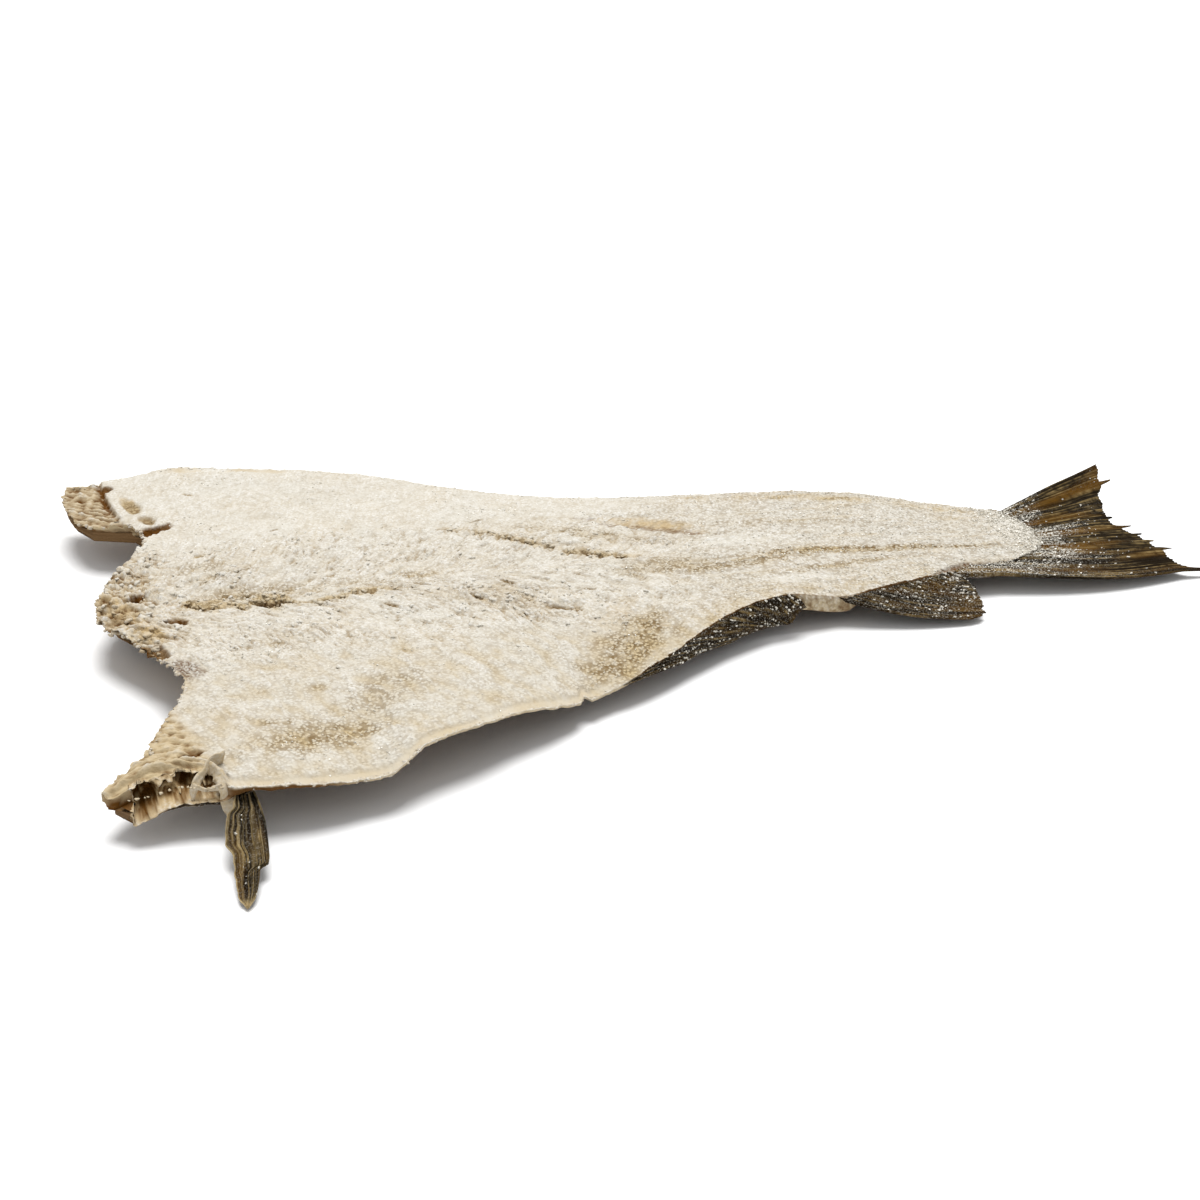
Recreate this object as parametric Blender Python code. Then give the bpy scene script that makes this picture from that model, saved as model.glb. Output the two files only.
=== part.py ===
"""Split salted dried cod, lying flesh side up with its skin on the table.

One flat, stiff fish: head off, backbone out, opened along the belly, salted and dried.
X runs from the nape (-X) to the tail (+X), Y across the fish, Z up. The fish is first laid out
with its backbone line on Y = 0 and then moved so that the middle of its box stands on the origin.
The body and the tail fin are one sheet of changing thickness. The two anal fins and the pectoral
fin hang from its near edge (-Y) and are joined to it, so the whole fish is one solid.
"""

import math

import bmesh
import bpy
from mathutils import Vector, noise

# ---- Driving dimensions, in metres ------------------------------------------------------------
LENGTH = 0.640
NAPE_X = -LENGTH / 2
TAIL_X = LENGTH / 2
TABLE_Z = 0.0

# Grid of the body sheet: cells along the fish and across it.
CELLS_ALONG = 60
CELLS_ACROSS = 30

# Stretches over which the shape of each end fades into the body.
NAPE_FADE = 0.170
TAIL_FADE = 0.075

# Edges seen from above, as (x, y).
NEAR_EDGE = ((-0.320, -0.190), (-0.285, -0.191), (-0.235, -0.199), (-0.190, -0.195),
             (-0.165, -0.181), (-0.125, -0.163), (-0.080, -0.139), (-0.040, -0.117), (0.000, -0.091),
             (0.036, -0.070), (0.062, -0.063), (0.100, -0.060), (0.150, -0.049),
             (0.200, -0.041), (0.236, -0.041), (0.262, -0.054), (0.320, -0.060))
FAR_EDGE = ((-0.320, 0.196), (-0.300, 0.189), (-0.285, 0.189), (-0.252, 0.193),
            (-0.205, 0.185), (-0.140, 0.166), (-0.075, 0.134), (-0.035, 0.113), (0.020, 0.097),
            (0.095, 0.082), (0.150, 0.068), (0.200, 0.054), (0.240, 0.041),
            (0.265, 0.048), (0.320, 0.064))
# Cut across the nape, as (y, x): two collar stubs at the ends, the neck between two notches.
NAPE_CUT = ((-0.190, -0.303), (-0.181, -0.319), (-0.160, -0.301), (-0.130, -0.292),
            (-0.084, -0.272), (-0.040, -0.286), (0.008, -0.311), (0.030, -0.308),
            (0.064, -0.296), (0.104, -0.277), (0.126, -0.285), (0.146, -0.315),
            (0.176, -0.320), (0.196, -0.315))
# Trailing edge of the tail fin, as (y, x): a shallow fork with two longer lobes.
TAIL_CUT = ((-0.060, 0.320), (-0.040, 0.313), (-0.020, 0.310), (0.012, 0.303),
            (0.036, 0.309), (0.064, 0.320))
TAIL_TOOTH = 0.0035
TAIL_TEETH = 7

# Heights of the upper face over the table, as (x, z).
SPINE_TOP = ((-0.320, 0.026), (-0.290, 0.029), (-0.230, 0.032), (-0.130, 0.032),
             (-0.030, 0.030), (0.060, 0.027), (0.130, 0.023), (0.190, 0.018),
             (0.235, 0.014), (0.262, 0.010), (0.320, 0.009))
NEAR_TOP = ((-0.320, 0.021), (-0.285, 0.027), (-0.240, 0.027), (-0.192, 0.021),
            (-0.166, 0.0285), (-0.150, 0.029), (-0.108, 0.024), (-0.068, 0.014),
            (-0.030, 0.018), (0.020, 0.024),
            (0.058, 0.025), (0.100, 0.018), (0.160, 0.018), (0.205, 0.012),
            (0.240, 0.010), (0.270, 0.0065), (0.320, 0.0060))
FAR_TOP = ((-0.320, 0.032), (-0.294, 0.034), (-0.260, 0.036), (-0.200, 0.034),
           (-0.140, 0.030), (-0.070, 0.025), (0.000, 0.024), (0.080, 0.025),
           (0.155, 0.024), (0.205, 0.017), (0.245, 0.014), (0.275, 0.017),
           (0.320, 0.024))
# Thickness of the flesh at the loin and at the outer edge, as (x, thickness).
LOIN_THICKNESS = ((-0.320, 0.017), (-0.280, 0.022), (-0.210, 0.031), (-0.120, 0.034),
                  (-0.020, 0.032), (0.060, 0.027), (0.120, 0.020), (0.165, 0.015),
                  (0.210, 0.012), (0.245, 0.009), (0.268, 0.0045), (0.320, 0.0028))
EDGE_THICKNESS = ((-0.320, 0.014), (-0.266, 0.013), (-0.245, 0.0065), (-0.100, 0.0055),
                  (-0.030, 0.0065), (0.060, 0.0085), (0.160, 0.0075), (0.235, 0.0060),
                  (0.262, 0.0032), (0.320, 0.0024))
# Share of the half width over which the loin falls away to the flap, as (x, share).
LOIN_START = ((-0.320, 0.12), (-0.180, 0.10), (-0.060, 0.11), (0.060, 0.20), (0.240, 0.30))
LOIN_END = ((-0.320, 0.46), (-0.180, 0.38), (-0.060, 0.46), (0.060, 0.80), (0.240, 1.00))

# Groove left where the backbone came out.
GROOVE_Y = 0.012
GROOVE_HALF_WIDTH = 0.020
GROOVE_DEPTH = 0.0035
GROOVE_STRETCH = (-0.300, 0.060)
GROOVE_FADE = 0.050

# How the upper face bends down from the backbone line to the edges, in front and behind.
FRONT_BEND = 1.5
REAR_BEND = 2.6
BEND_CHANGE = (-0.050, 0.120)

# The outermost strip of the flap, thinner than the rest behind the near collar.
RIM_START = 0.94
RIM_THINNING = 0.35
RIM_FROM_X = -0.270
RIM_FADE = 0.020

# Slow swells of the dried flesh and small waves of its edges, as size and height. Each END says
# where along the fish they fade out before the tail fin, as (start, length).
SWELL_SIZE = 0.060
SWELL_HEIGHT = 0.0012
SWELL_END = (0.230, 0.040)
EDGE_WAVE_SIZE = 0.026
EDGE_WAVE = 0.0022
EDGE_WAVE_END = (0.200, 0.050)

# Flat strip of the back that the fish rests on.
REST_FADE = 0.0015

FIN_THICKNESS = 0.0026
FIN_TIP_THINNING = 0.6
FIN_BITE = 0.0050
FIN_ROOT_DEPTH = 0.0050
FIN_LOWEST = 0.0030


# ---- Curves and small helpers -----------------------------------------------------------------
def clamp01(value):
    return min(max(value, 0.0), 1.0)


def ease(value):
    """Smooth step from 0 to 1."""
    value = clamp01(value)
    return value * value * (3.0 - 2.0 * value)


def mix(start, end, share):
    return start + (end - start) * share


def read(stations, at):
    """Smooth curve through (place, value) stations, with no overshoot between them."""
    if at <= stations[0][0]:
        return stations[0][1]
    if at >= stations[-1][0]:
        return stations[-1][1]
    slopes = [(b[1] - a[1]) / (b[0] - a[0]) for a, b in zip(stations, stations[1:])]
    last = len(slopes) - 1
    for index, slope in enumerate(slopes):
        (x0, y0), (x1, y1) = stations[index], stations[index + 1]
        if at > x1:
            continue
        width = x1 - x0
        start = _tangent(slopes[max(index - 1, 0)], slope)
        end = _tangent(slope, slopes[min(index + 1, last)])
        t = (at - x0) / width
        return ((1 + 2 * t) * (1 - t) ** 2 * y0 + t * (1 - t) ** 2 * width * start
                + t * t * (3 - 2 * t) * y1 + t * t * (t - 1) * width * end)


def _tangent(before, after):
    """Slope at a station: flat at a peak, otherwise the harmonic mean of its two sides."""
    if before * after <= 0.0:
        return 0.0
    return 2.0 * before * after / (before + after)


def swell(x, y, size):
    """Slow unevenness between -1 and 1."""
    return noise.noise(Vector((x / size, y / size, 3.7)))


# ---- Shape of the body sheet ------------------------------------------------------------------
def edge_wave(x, side):
    """Small waves of a dried edge, away from the tail fin."""
    end, fade = EDGE_WAVE_END
    reach = 1.0 - ease((x - end) / fade)
    return EDGE_WAVE * reach * noise.noise(Vector((x / EDGE_WAVE_SIZE, side * 5.0, 0.0)))


def plan(along, across):
    """Place on the table of a point of the sheet: along 0..1 to the tail, across -1..1."""
    x = mix(NAPE_X, TAIL_X, along)
    near = read(NEAR_EDGE, x) + edge_wave(x, -1.0)
    far = read(FAR_EDGE, x) + edge_wave(x, 1.0)
    y = mix(near, far, 0.5 + 0.5 * across)
    nape_share = clamp01(1.0 - (x - NAPE_X) / NAPE_FADE) ** 2
    tail_share = clamp01(1.0 - (TAIL_X - x) / TAIL_FADE) ** 2
    teeth = TAIL_TOOTH * math.sin(math.pi * TAIL_TEETH * across)
    x += (read(NAPE_CUT, y) - NAPE_X) * nape_share
    x += (read(TAIL_CUT, y) + teeth - TAIL_X) * tail_share
    return x, y


def upper_height(x, y, across):
    """Height of the flesh side: high along the loins, lower to the edges."""
    spine = read(SPINE_TOP, x)
    edge = read(FAR_TOP if across > 0.0 else NEAR_TOP, x)
    change_start, change_length = BEND_CHANGE
    bend = mix(FRONT_BEND, REAR_BEND, ease((x - change_start) / change_length))
    height = mix(spine, edge, abs(across) ** bend)
    start, end = GROOVE_STRETCH
    groove = ease((x - start) / GROOVE_FADE) * ease((end - x) / GROOVE_FADE)
    groove *= math.exp(-((y - GROOVE_Y) / GROOVE_HALF_WIDTH) ** 2)
    swell_end, swell_fade = SWELL_END
    fade = 1.0 - ease((x - swell_end) / swell_fade)
    return height - GROOVE_DEPTH * groove + SWELL_HEIGHT * fade * swell(x, y, SWELL_SIZE)


def thickness(x, across):
    """Thickness of the flesh: a thick loin beside the backbone, a thin flap outside it."""
    start, end = read(LOIN_START, x), read(LOIN_END, x)
    fall = ease((abs(across) - start) / (end - start))
    outer = ease((abs(across) - RIM_START) / (1.0 - RIM_START))
    rim = 1.0 - RIM_THINNING * outer * ease((x - RIM_FROM_X) / RIM_FADE)
    return mix(read(LOIN_THICKNESS, x), read(EDGE_THICKNESS, x), fall) * rim


def lower_height(x, across, upper):
    """Height of the skin side, pressed flat on the table where the loin reaches it."""
    lower = upper - thickness(x, across)
    return TABLE_Z if lower < REST_FADE else lower


# ---- Building ---------------------------------------------------------------------------------
def clear_scene():
    for item in list(bpy.data.objects):
        bpy.data.objects.remove(item, do_unlink=True)


def thick_sheet(cells_along, cells_across, point):
    """Closed slab from one grid. point(along, across, top) gives each corner its place."""
    mesh = bmesh.new()
    bmesh.ops.create_grid(mesh, x_segments=cells_along, y_segments=cells_across, size=1.0)
    bottom = list(mesh.verts)
    made = bmesh.ops.extrude_face_region(mesh, geom=list(mesh.faces), use_keep_orig=True)
    top = [item for item in made["geom"] if isinstance(item, bmesh.types.BMVert)]
    for side, corners in ((False, bottom), (True, top)):
        for corner in corners:
            corner.co = point(0.5 + 0.5 * corner.co.x, corner.co.y, side)
    bmesh.ops.recalc_face_normals(mesh, faces=mesh.faces)
    return mesh


def add_object(name, mesh, material):
    data = bpy.data.meshes.new(name)
    mesh.to_mesh(data)
    mesh.free()
    data.materials.append(material)
    data.shade_smooth()
    item = bpy.data.objects.new(name, data)
    bpy.context.scene.collection.objects.link(item)
    return item


def make_flesh_material():
    """Dried, salted flesh: pale, dull and slightly yellow."""
    material = bpy.data.materials.new("dried_flesh")
    material.use_nodes = True
    shader = material.node_tree.nodes["Principled BSDF"]
    shader.inputs["Base Color"].default_value = (0.78, 0.73, 0.61, 1.0)
    shader.inputs["Roughness"].default_value = 0.85
    shader.inputs["Metallic"].default_value = 0.0
    return material


def make_body():
    """Body and tail fin as one sheet, with the resting strip joined into one flat face."""
    def point(along, across, top):
        x, y = plan(along, across)
        upper = upper_height(x, y, across)
        return Vector((x, y, upper if top else lower_height(x, across, upper)))

    mesh = thick_sheet(CELLS_ALONG, CELLS_ACROSS, point)
    resting = [face for face in mesh.faces if all(v.co.z == TABLE_Z for v in face.verts)]
    bmesh.ops.dissolve_faces(mesh, faces=resting, use_verts=True)
    return mesh


def fin(root, tip, columns, rows, side):
    """Thin fin between a root curve and a tip curve, with its thickness along side."""
    def point(along, across, top):
        out = 0.5 + 0.5 * across
        half = 0.5 * FIN_THICKNESS * mix(1.0, FIN_TIP_THINNING, out)
        return root(along).lerp(tip(along), out) + side * (half if top else -half)

    return thick_sheet(columns, rows, point)


def make_first_anal_fin():
    """Long low fin that hangs from the near edge behind the vent."""
    start, end = -0.048, 0.066
    front_drop, drop = 0.0055, 0.0175
    overhang, sweep, front_sweep = 0.0020, 0.0080, -0.0020
    growth_end = 0.35
    corner_start, corner_cut = 0.85, 0.35
    facing = Vector((0.0, 0.80, -0.60))

    def root(along):
        x = mix(start, end, along)
        return Vector((x, read(NEAR_EDGE, x) + FIN_BITE, read(NEAR_TOP, x) - FIN_ROOT_DEPTH))

    def tip(along):
        x = mix(start + front_sweep, end + sweep, along)
        growth = ease(along / growth_end)
        taper = 1.0 - corner_cut * ease((along - corner_start) / (1.0 - corner_start))
        z = read(NEAR_TOP, x) - mix(front_drop, drop, growth) * taper
        return Vector((x, read(NEAR_EDGE, x) - overhang, max(z, FIN_LOWEST)))

    return fin(root, tip, 14, 4, facing)


def make_second_anal_fin():
    """Swept-back fin near the tail, spread outward and down to the table."""
    start, end = 0.110, 0.166
    front_sweep, sweep = 0.004, 0.016
    front_reach, full_reach = 0.006, 0.031
    front_height, height = 0.012, 0.0045
    reach_end, height_end = 0.55, 0.50
    facing = Vector((0.0, 0.35, 0.94)).normalized()

    def root(along):
        x = mix(start, end, along)
        return Vector((x, read(NEAR_EDGE, x) + FIN_BITE, read(NEAR_TOP, x) - FIN_ROOT_DEPTH))

    def tip(along):
        x = mix(start + front_sweep, end + sweep, along)
        reach = mix(front_reach, full_reach, ease(along / reach_end))
        z = mix(front_height, height, ease(along / height_end))
        return Vector((x, read(NEAR_EDGE, mix(start, end, along)) - reach, z))

    return fin(root, tip, 12, 6, facing)


def make_pectoral_fin():
    """Narrow fin that hangs from under the near collar down to the table."""
    root_at = Vector((-0.2550, -0.1780, 0.0245))
    tip_at = Vector((-0.2615, -0.2590, 0.0022))
    root_half, tip_half = 0.0060, 0.0105
    corner_cut = 0.016
    facing = Vector((0.10, -0.24, 0.96)).normalized()
    rise = (root_at.z - tip_at.z) / (root_at.y - tip_at.y)

    def root(along):
        return root_at + Vector(((2.0 * along - 1.0) * root_half, 0.0, 0.0))

    def tip(along):
        across = 2.0 * along - 1.0
        shorter = corner_cut * across * across
        return tip_at + Vector((across * tip_half, shorter, rise * shorter))

    return fin(root, tip, 8, 10, facing)


def join(body, other):
    """Union of the fish with one fin, whose own object stays as a hidden guide."""
    cut = body.modifiers.new("join_" + other.name, "BOOLEAN")
    cut.operation = "UNION"
    cut.solver = "EXACT"
    cut.object = other
    other.hide_render = True
    other.display_type = "WIRE"


def stand_on_origin(objects):
    """Move the laid-out fish so that the middle of its box is over the origin."""
    corners = [v.co for item in objects for v in item.data.vertices]
    middle_x = 0.5 * (min(c.x for c in corners) + max(c.x for c in corners))
    middle_y = 0.5 * (min(c.y for c in corners) + max(c.y for c in corners))
    for item in objects:
        for vertex in item.data.vertices:
            vertex.co -= Vector((middle_x, middle_y, 0.0))


def main():
    clear_scene()
    flesh = make_flesh_material()
    body = add_object("split_cod", make_body(), flesh)
    fins = [add_object("guide_first_anal_fin", make_first_anal_fin(), flesh),
            add_object("guide_second_anal_fin", make_second_anal_fin(), flesh),
            add_object("guide_pectoral_fin", make_pectoral_fin(), flesh)]
    stand_on_origin([body] + fins)
    for item in fins:
        join(body, item)


main()
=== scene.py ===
"""Split salted dried cod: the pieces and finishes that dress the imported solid.

All shapes are laid out in the fish's own frame, in metres: X along the fish from the nape (-X) to the
tail (+X), Y across it from the backbone line, Z up from the table. to_frame() moves a finished piece
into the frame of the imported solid.
"""

import functools
import math
import random

import bmesh
import bpy
from bpy.props import FloatProperty, FloatVectorProperty, IntProperty, PointerProperty
from mathutils import Euler, Matrix, Vector, noise


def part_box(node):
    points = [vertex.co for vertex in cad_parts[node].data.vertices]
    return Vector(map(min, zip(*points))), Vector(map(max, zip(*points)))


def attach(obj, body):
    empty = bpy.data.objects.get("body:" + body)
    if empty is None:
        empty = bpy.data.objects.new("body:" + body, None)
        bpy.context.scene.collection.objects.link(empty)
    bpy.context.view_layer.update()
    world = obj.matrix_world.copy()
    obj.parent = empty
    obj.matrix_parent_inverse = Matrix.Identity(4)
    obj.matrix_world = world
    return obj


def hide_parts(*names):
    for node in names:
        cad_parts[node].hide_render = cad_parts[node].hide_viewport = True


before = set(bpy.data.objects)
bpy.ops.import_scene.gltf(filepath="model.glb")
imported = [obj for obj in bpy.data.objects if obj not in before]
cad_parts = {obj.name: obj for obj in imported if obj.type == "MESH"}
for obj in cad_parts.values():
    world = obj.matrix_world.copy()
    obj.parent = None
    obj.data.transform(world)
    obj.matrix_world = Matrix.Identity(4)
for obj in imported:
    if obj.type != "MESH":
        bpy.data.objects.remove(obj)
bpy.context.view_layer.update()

bl_info = {
    "name": "Salted Dried Cod",
    "version": (1, 0, 0),
    "blender": (4, 5, 0),
    "location": "3D View > Sidebar > Cod",
    "description": "Builds a split salted dried cod with its skin, fins and curing salt",
    "category": "Add Mesh",
}

MM = 0.001
NODE = "split_cod"
BODY = "root"

# ---- Layout of the fish, as in the solid --------------------------------------------------------
NAPE_X = -0.320
TAIL_X = 0.320
FAR_REACH = 0.1961
NAPE_FADE = 0.170
TAIL_FADE = 0.075
FLESH_END = 0.262
SKIN_THICKNESS = 0.8 * MM


def clamp01(value):
    return min(max(value, 0.0), 1.0)


def ease(value):
    """Smooth step from 0 to 1."""
    value = clamp01(value)
    return value * value * (3.0 - 2.0 * value)


def window(value, start, end, soft):
    """1 between start and end, fading to 0 over soft outside them."""
    return ease((value - start) / soft + 1.0) * ease((end - value) / soft + 1.0)


def mix(start, end, share):
    return start + (end - start) * share


class Profile:
    """Smooth curve through a few (place, value) stations, with no overshoot between them."""

    STEP = 0.0005

    def __init__(self, *stations):
        self.start = stations[0][0]
        count = int((stations[-1][0] - self.start) / self.STEP) + 2
        self.values = [self._read(stations, self.start + self.STEP * i) for i in range(count)]

    @staticmethod
    def _tangent(before, after):
        """Slope at a station: flat at a peak, otherwise the harmonic mean of its two sides."""
        if before * after <= 0.0:
            return 0.0
        return 2.0 * before * after / (before + after)

    def _read(self, stations, at):
        if at >= stations[-1][0]:
            return stations[-1][1]
        slopes = [(b[1] - a[1]) / (b[0] - a[0]) for a, b in zip(stations, stations[1:])]
        last = len(slopes) - 1
        index = next(i for i in range(last + 1) if at <= stations[i + 1][0])
        (x0, y0), (x1, y1) = stations[index], stations[index + 1]
        width = x1 - x0
        start = self._tangent(slopes[max(index - 1, 0)], slopes[index])
        end = self._tangent(slopes[index], slopes[min(index + 1, last)])
        t = (at - x0) / width
        return ((1 + 2 * t) * (1 - t) ** 2 * y0 + t * (1 - t) ** 2 * width * start
                + t * t * (3 - 2 * t) * y1 + t * t * (t - 1) * width * end)

    def __call__(self, at):
        place = (at - self.start) / self.STEP
        if place <= 0.0:
            return self.values[0]
        index = int(place)
        if index >= len(self.values) - 1:
            return self.values[-1]
        return mix(self.values[index], self.values[index + 1], place - index)


# Edges seen from above, as (x, y).
near_edge = Profile((-0.320, -0.190), (-0.285, -0.191), (-0.235, -0.199), (-0.190, -0.195),
                    (-0.165, -0.181), (-0.125, -0.163), (-0.080, -0.139), (-0.040, -0.117), (0.000, -0.091),
                    (0.036, -0.070), (0.062, -0.063), (0.100, -0.060), (0.150, -0.049),
                    (0.200, -0.041), (0.236, -0.041), (0.262, -0.054), (0.320, -0.060))
far_edge = Profile((-0.320, 0.196), (-0.300, 0.189), (-0.285, 0.189), (-0.252, 0.193),
                   (-0.205, 0.185), (-0.140, 0.166), (-0.075, 0.134), (-0.035, 0.113),
                   (0.020, 0.097), (0.095, 0.082), (0.150, 0.068), (0.200, 0.054), (0.240, 0.041),
                   (0.265, 0.048), (0.320, 0.064))
# Cut of the flesh across the nape, as (y, x).
flesh_nape = Profile((-0.192, -0.305), (-0.182, -0.318), (-0.160, -0.298), (-0.130, -0.287),
                     (-0.084, -0.272), (-0.040, -0.286), (0.008, -0.309), (0.030, -0.307),
                     (0.064, -0.294), (0.104, -0.276), (0.126, -0.284), (0.146, -0.312),
                     (0.176, -0.319), (0.196, -0.315))
# How far the cut face of the nape leans back under its lip, as (y, depth).
undercut_depth = Profile((-0.190, 0.001), (-0.150, 0.002), (-0.105, 0.006), (-0.080, 0.020),
                         (-0.040, 0.027), (-0.015, 0.024), (0.012, 0.008), (0.030, 0.004),
                         (0.120, 0.003), (0.190, 0.002))
# Trailing edge of the tail fin, as (y, x).
tail_cut = Profile((-0.060, 0.320), (-0.040, 0.313), (-0.020, 0.310), (0.012, 0.303),
                   (0.036, 0.309), (0.064, 0.320))
# Where the flesh stops on the tail fin, as (y, x).
flesh_cut = Profile((-0.048, 0.198), (-0.040, 0.208), (-0.034, 0.226), (-0.026, 0.246),
                    (-0.013, 0.256), (0.008, 0.257), (0.031, 0.250), (0.046, 0.244))
# Heights of the upper face, as (x, z).
spine_top = Profile((-0.320, 0.026), (-0.290, 0.029), (-0.230, 0.032), (-0.130, 0.032),
                    (-0.030, 0.030), (0.060, 0.027), (0.130, 0.023), (0.190, 0.018),
                    (0.235, 0.014), (0.262, 0.010), (0.320, 0.009))
near_top = Profile((-0.320, 0.021), (-0.285, 0.027), (-0.240, 0.027), (-0.192, 0.021),
                   (-0.166, 0.0285), (-0.150, 0.029), (-0.108, 0.024), (-0.068, 0.014),
                   (-0.030, 0.018), (0.020, 0.024),
                   (0.058, 0.025), (0.100, 0.018), (0.160, 0.018), (0.205, 0.012),
                   (0.240, 0.010), (0.270, 0.0065), (0.320, 0.0060))
far_top = Profile((-0.320, 0.032), (-0.294, 0.034), (-0.260, 0.036), (-0.200, 0.034),
                  (-0.140, 0.030), (-0.070, 0.025), (0.000, 0.024), (0.080, 0.025),
                  (0.155, 0.024), (0.205, 0.017), (0.245, 0.014), (0.275, 0.017),
                  (0.320, 0.024))
# Thickness of the loin and of the outer edge, as (x, thickness).
loin_thickness = Profile((-0.320, 0.017), (-0.280, 0.022), (-0.210, 0.031), (-0.120, 0.034),
                         (-0.020, 0.032), (0.060, 0.027), (0.120, 0.020), (0.165, 0.015),
                         (0.210, 0.012), (0.245, 0.009), (0.268, 0.0045), (0.320, 0.0028))
edge_thickness = Profile((-0.320, 0.014), (-0.266, 0.013), (-0.245, 0.0065), (-0.100, 0.0055),
                         (-0.030, 0.0065), (0.060, 0.0085), (0.160, 0.0075), (0.235, 0.0060),
                         (0.262, 0.0032), (0.320, 0.0024))
# Share of the half width over which the loin falls away to the flap, as (x, share).
loin_start = Profile((-0.320, 0.12), (-0.180, 0.10), (-0.060, 0.11), (0.060, 0.20), (0.240, 0.30))
loin_end = Profile((-0.320, 0.46), (-0.180, 0.38), (-0.060, 0.46), (0.060, 0.80), (0.240, 1.00))

GROOVE_Y = 0.012
GROOVE_HALF_WIDTH = 0.020
GROOVE_DEPTH = 3.5 * MM
EDGE_WAVE_SIZE = 26 * MM
EDGE_WAVE = 2.2 * MM
SWELL_SIZE = 60 * MM
SWELL_HEIGHT = 1.2 * MM
REST_FADE = 1.5 * MM


def rough(x, y, size, layers=1, seed=0.0):
    """Even unevenness between about -1 and 1, with lumps of the given size in metres."""
    return noise.fractal(Vector((x / size, y / size, seed)), 1.0, 2.0, layers)


def edge_wave(x, side):
    reach = 1.0 - ease((x - 0.20) / 0.05)
    wave = EDGE_WAVE * noise.noise(Vector((x / EDGE_WAVE_SIZE, side * 5.0, 0.0)))
    return wave * reach


def edge_crinkle(x, side):
    """Small torn waves of the thin edge, on top of the slow ones."""
    wave = 1.3 * MM * noise.noise(Vector((x / (5.5 * MM), side * 9.0, 1.0)))
    wave += 0.7 * MM * noise.noise(Vector((x / (2.2 * MM), side * 9.0, 4.0)))
    return wave * (1.0 - 0.6 * ease((x - 0.02) / 0.05))


def vent_nick(x):
    """Small V torn into the near edge at the vent."""
    return 6.5 * MM * max(0.0, 1.0 - abs(x + 75 * MM) / (3.6 * MM))


def outline(x):
    near = near_edge(x) + edge_wave(x, -1.0) + edge_crinkle(x, -1.0) + vent_nick(x)
    far = far_edge(x) + edge_wave(x, 1.0) + edge_crinkle(x, 1.0)
    return near, far


def torn_nape(y):
    """Ragged line of the cut across the nape."""
    ragged = 2.4 * MM * rough(y, 0.0, 11 * MM, 1, 2.0) + 1.5 * MM * rough(y, 0.0, 3.6 * MM, 3, 5.0)
    return flesh_nape(y) + ragged


def upper_height(x, y, across):
    """Height of the flesh side without its fine relief."""
    edge = far_top(x) if across > 0.0 else near_top(x)
    bend = mix(1.5, 2.6, ease((x + 0.05) / 0.12))
    height = mix(spine_top(x), edge, abs(across) ** bend)
    groove = ease((x + 0.300) / 0.05) * ease((0.060 - x) / 0.05)
    groove *= math.exp(-((y - GROOVE_Y) / GROOVE_HALF_WIDTH) ** 2)
    fade = 1.0 - ease((x - 0.23) / 0.04)
    return height - GROOVE_DEPTH * groove + SWELL_HEIGHT * fade * rough(x, y, SWELL_SIZE, 1, 3.7)


def undercut(x, y):
    """How far the under face is pushed back from the nape, fading out along the fish."""
    return undercut_depth(y) * (1.0 - ease((x + 0.27) / 0.14))


def thickness(x, across):
    start = loin_start(x)
    fall = ease((abs(across) - start) / (loin_end(x) - start))
    rim = 1.0 - 0.35 * ease((abs(across) - 0.94) / 0.06) * ease((x + 0.27) / 0.02)
    return mix(loin_thickness(x), edge_thickness(x), fall) * rim


def lower_height(x, across, upper):
    lower = upper - thickness(x, across)
    return 0.0 if lower < REST_FADE else lower


# ---- Relief of the flesh side -------------------------------------------------------------------
FIBRE_TURN = 40 * MM
FIBRE_BEND = 25 * MM
FIBRE_SLANT = 0.30


def fibre_place(x, y):
    """Along and across the muscle fibres, which sweep outward and back from the backbone."""
    out = abs(y)
    sweep = FIBRE_TURN * (1.0 - math.exp(-out / FIBRE_BEND)) + FIBRE_SLANT * out
    return out, x - sweep


def strands(x, y, turn, width, length, seed):
    """Unevenness of torn strands that run at an angle in degrees, of a width and a length."""
    cos, sin = math.cos(math.radians(turn)), math.sin(math.radians(turn))
    along, across = x * cos + y * sin, y * cos - x * sin
    return noise.fractal(Vector((along / length, across / width, seed)), 1.0, 2.0, 2)


def crumble(x, y, size, seed):
    """Cracked crumbs of a size: 0 in the crevices between them, 1 on their tops."""
    bend = 0.45 * noise.noise(Vector((x / size * 0.7, y / size * 0.7, seed + 0.5)))
    near, second, *_ = noise.voronoi(Vector((x / size + bend, y / size - bend, seed)))[0]
    return clamp01(1.9 * (second - near))


class Spot:
    """Long round place on the flesh side with an uneven outline."""

    def __init__(self, x, y, length, width, turn=0.0):
        self.x, self.y = x, y
        self.length, self.width = length, width
        self.cos, self.sin = math.cos(math.radians(turn)), math.sin(math.radians(turn))
        self.reach = 1.5 * max(length, width)

    def share(self, x, y, soft=1.0):
        """1 at the middle, falling to 0 over the outer soft part of the half size."""
        x, y = x - self.x, y - self.y
        if abs(x) > self.reach or abs(y) > self.reach:
            return 0.0
        along = (x * self.cos + y * self.sin) / self.length
        across = (y * self.cos - x * self.sin) / self.width
        uneven = 0.30 * rough(x + self.x, y + self.y, 0.6 * self.width, 2, 30.0)
        return ease((1.0 - math.hypot(along, across) + uneven) / soft)


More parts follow.
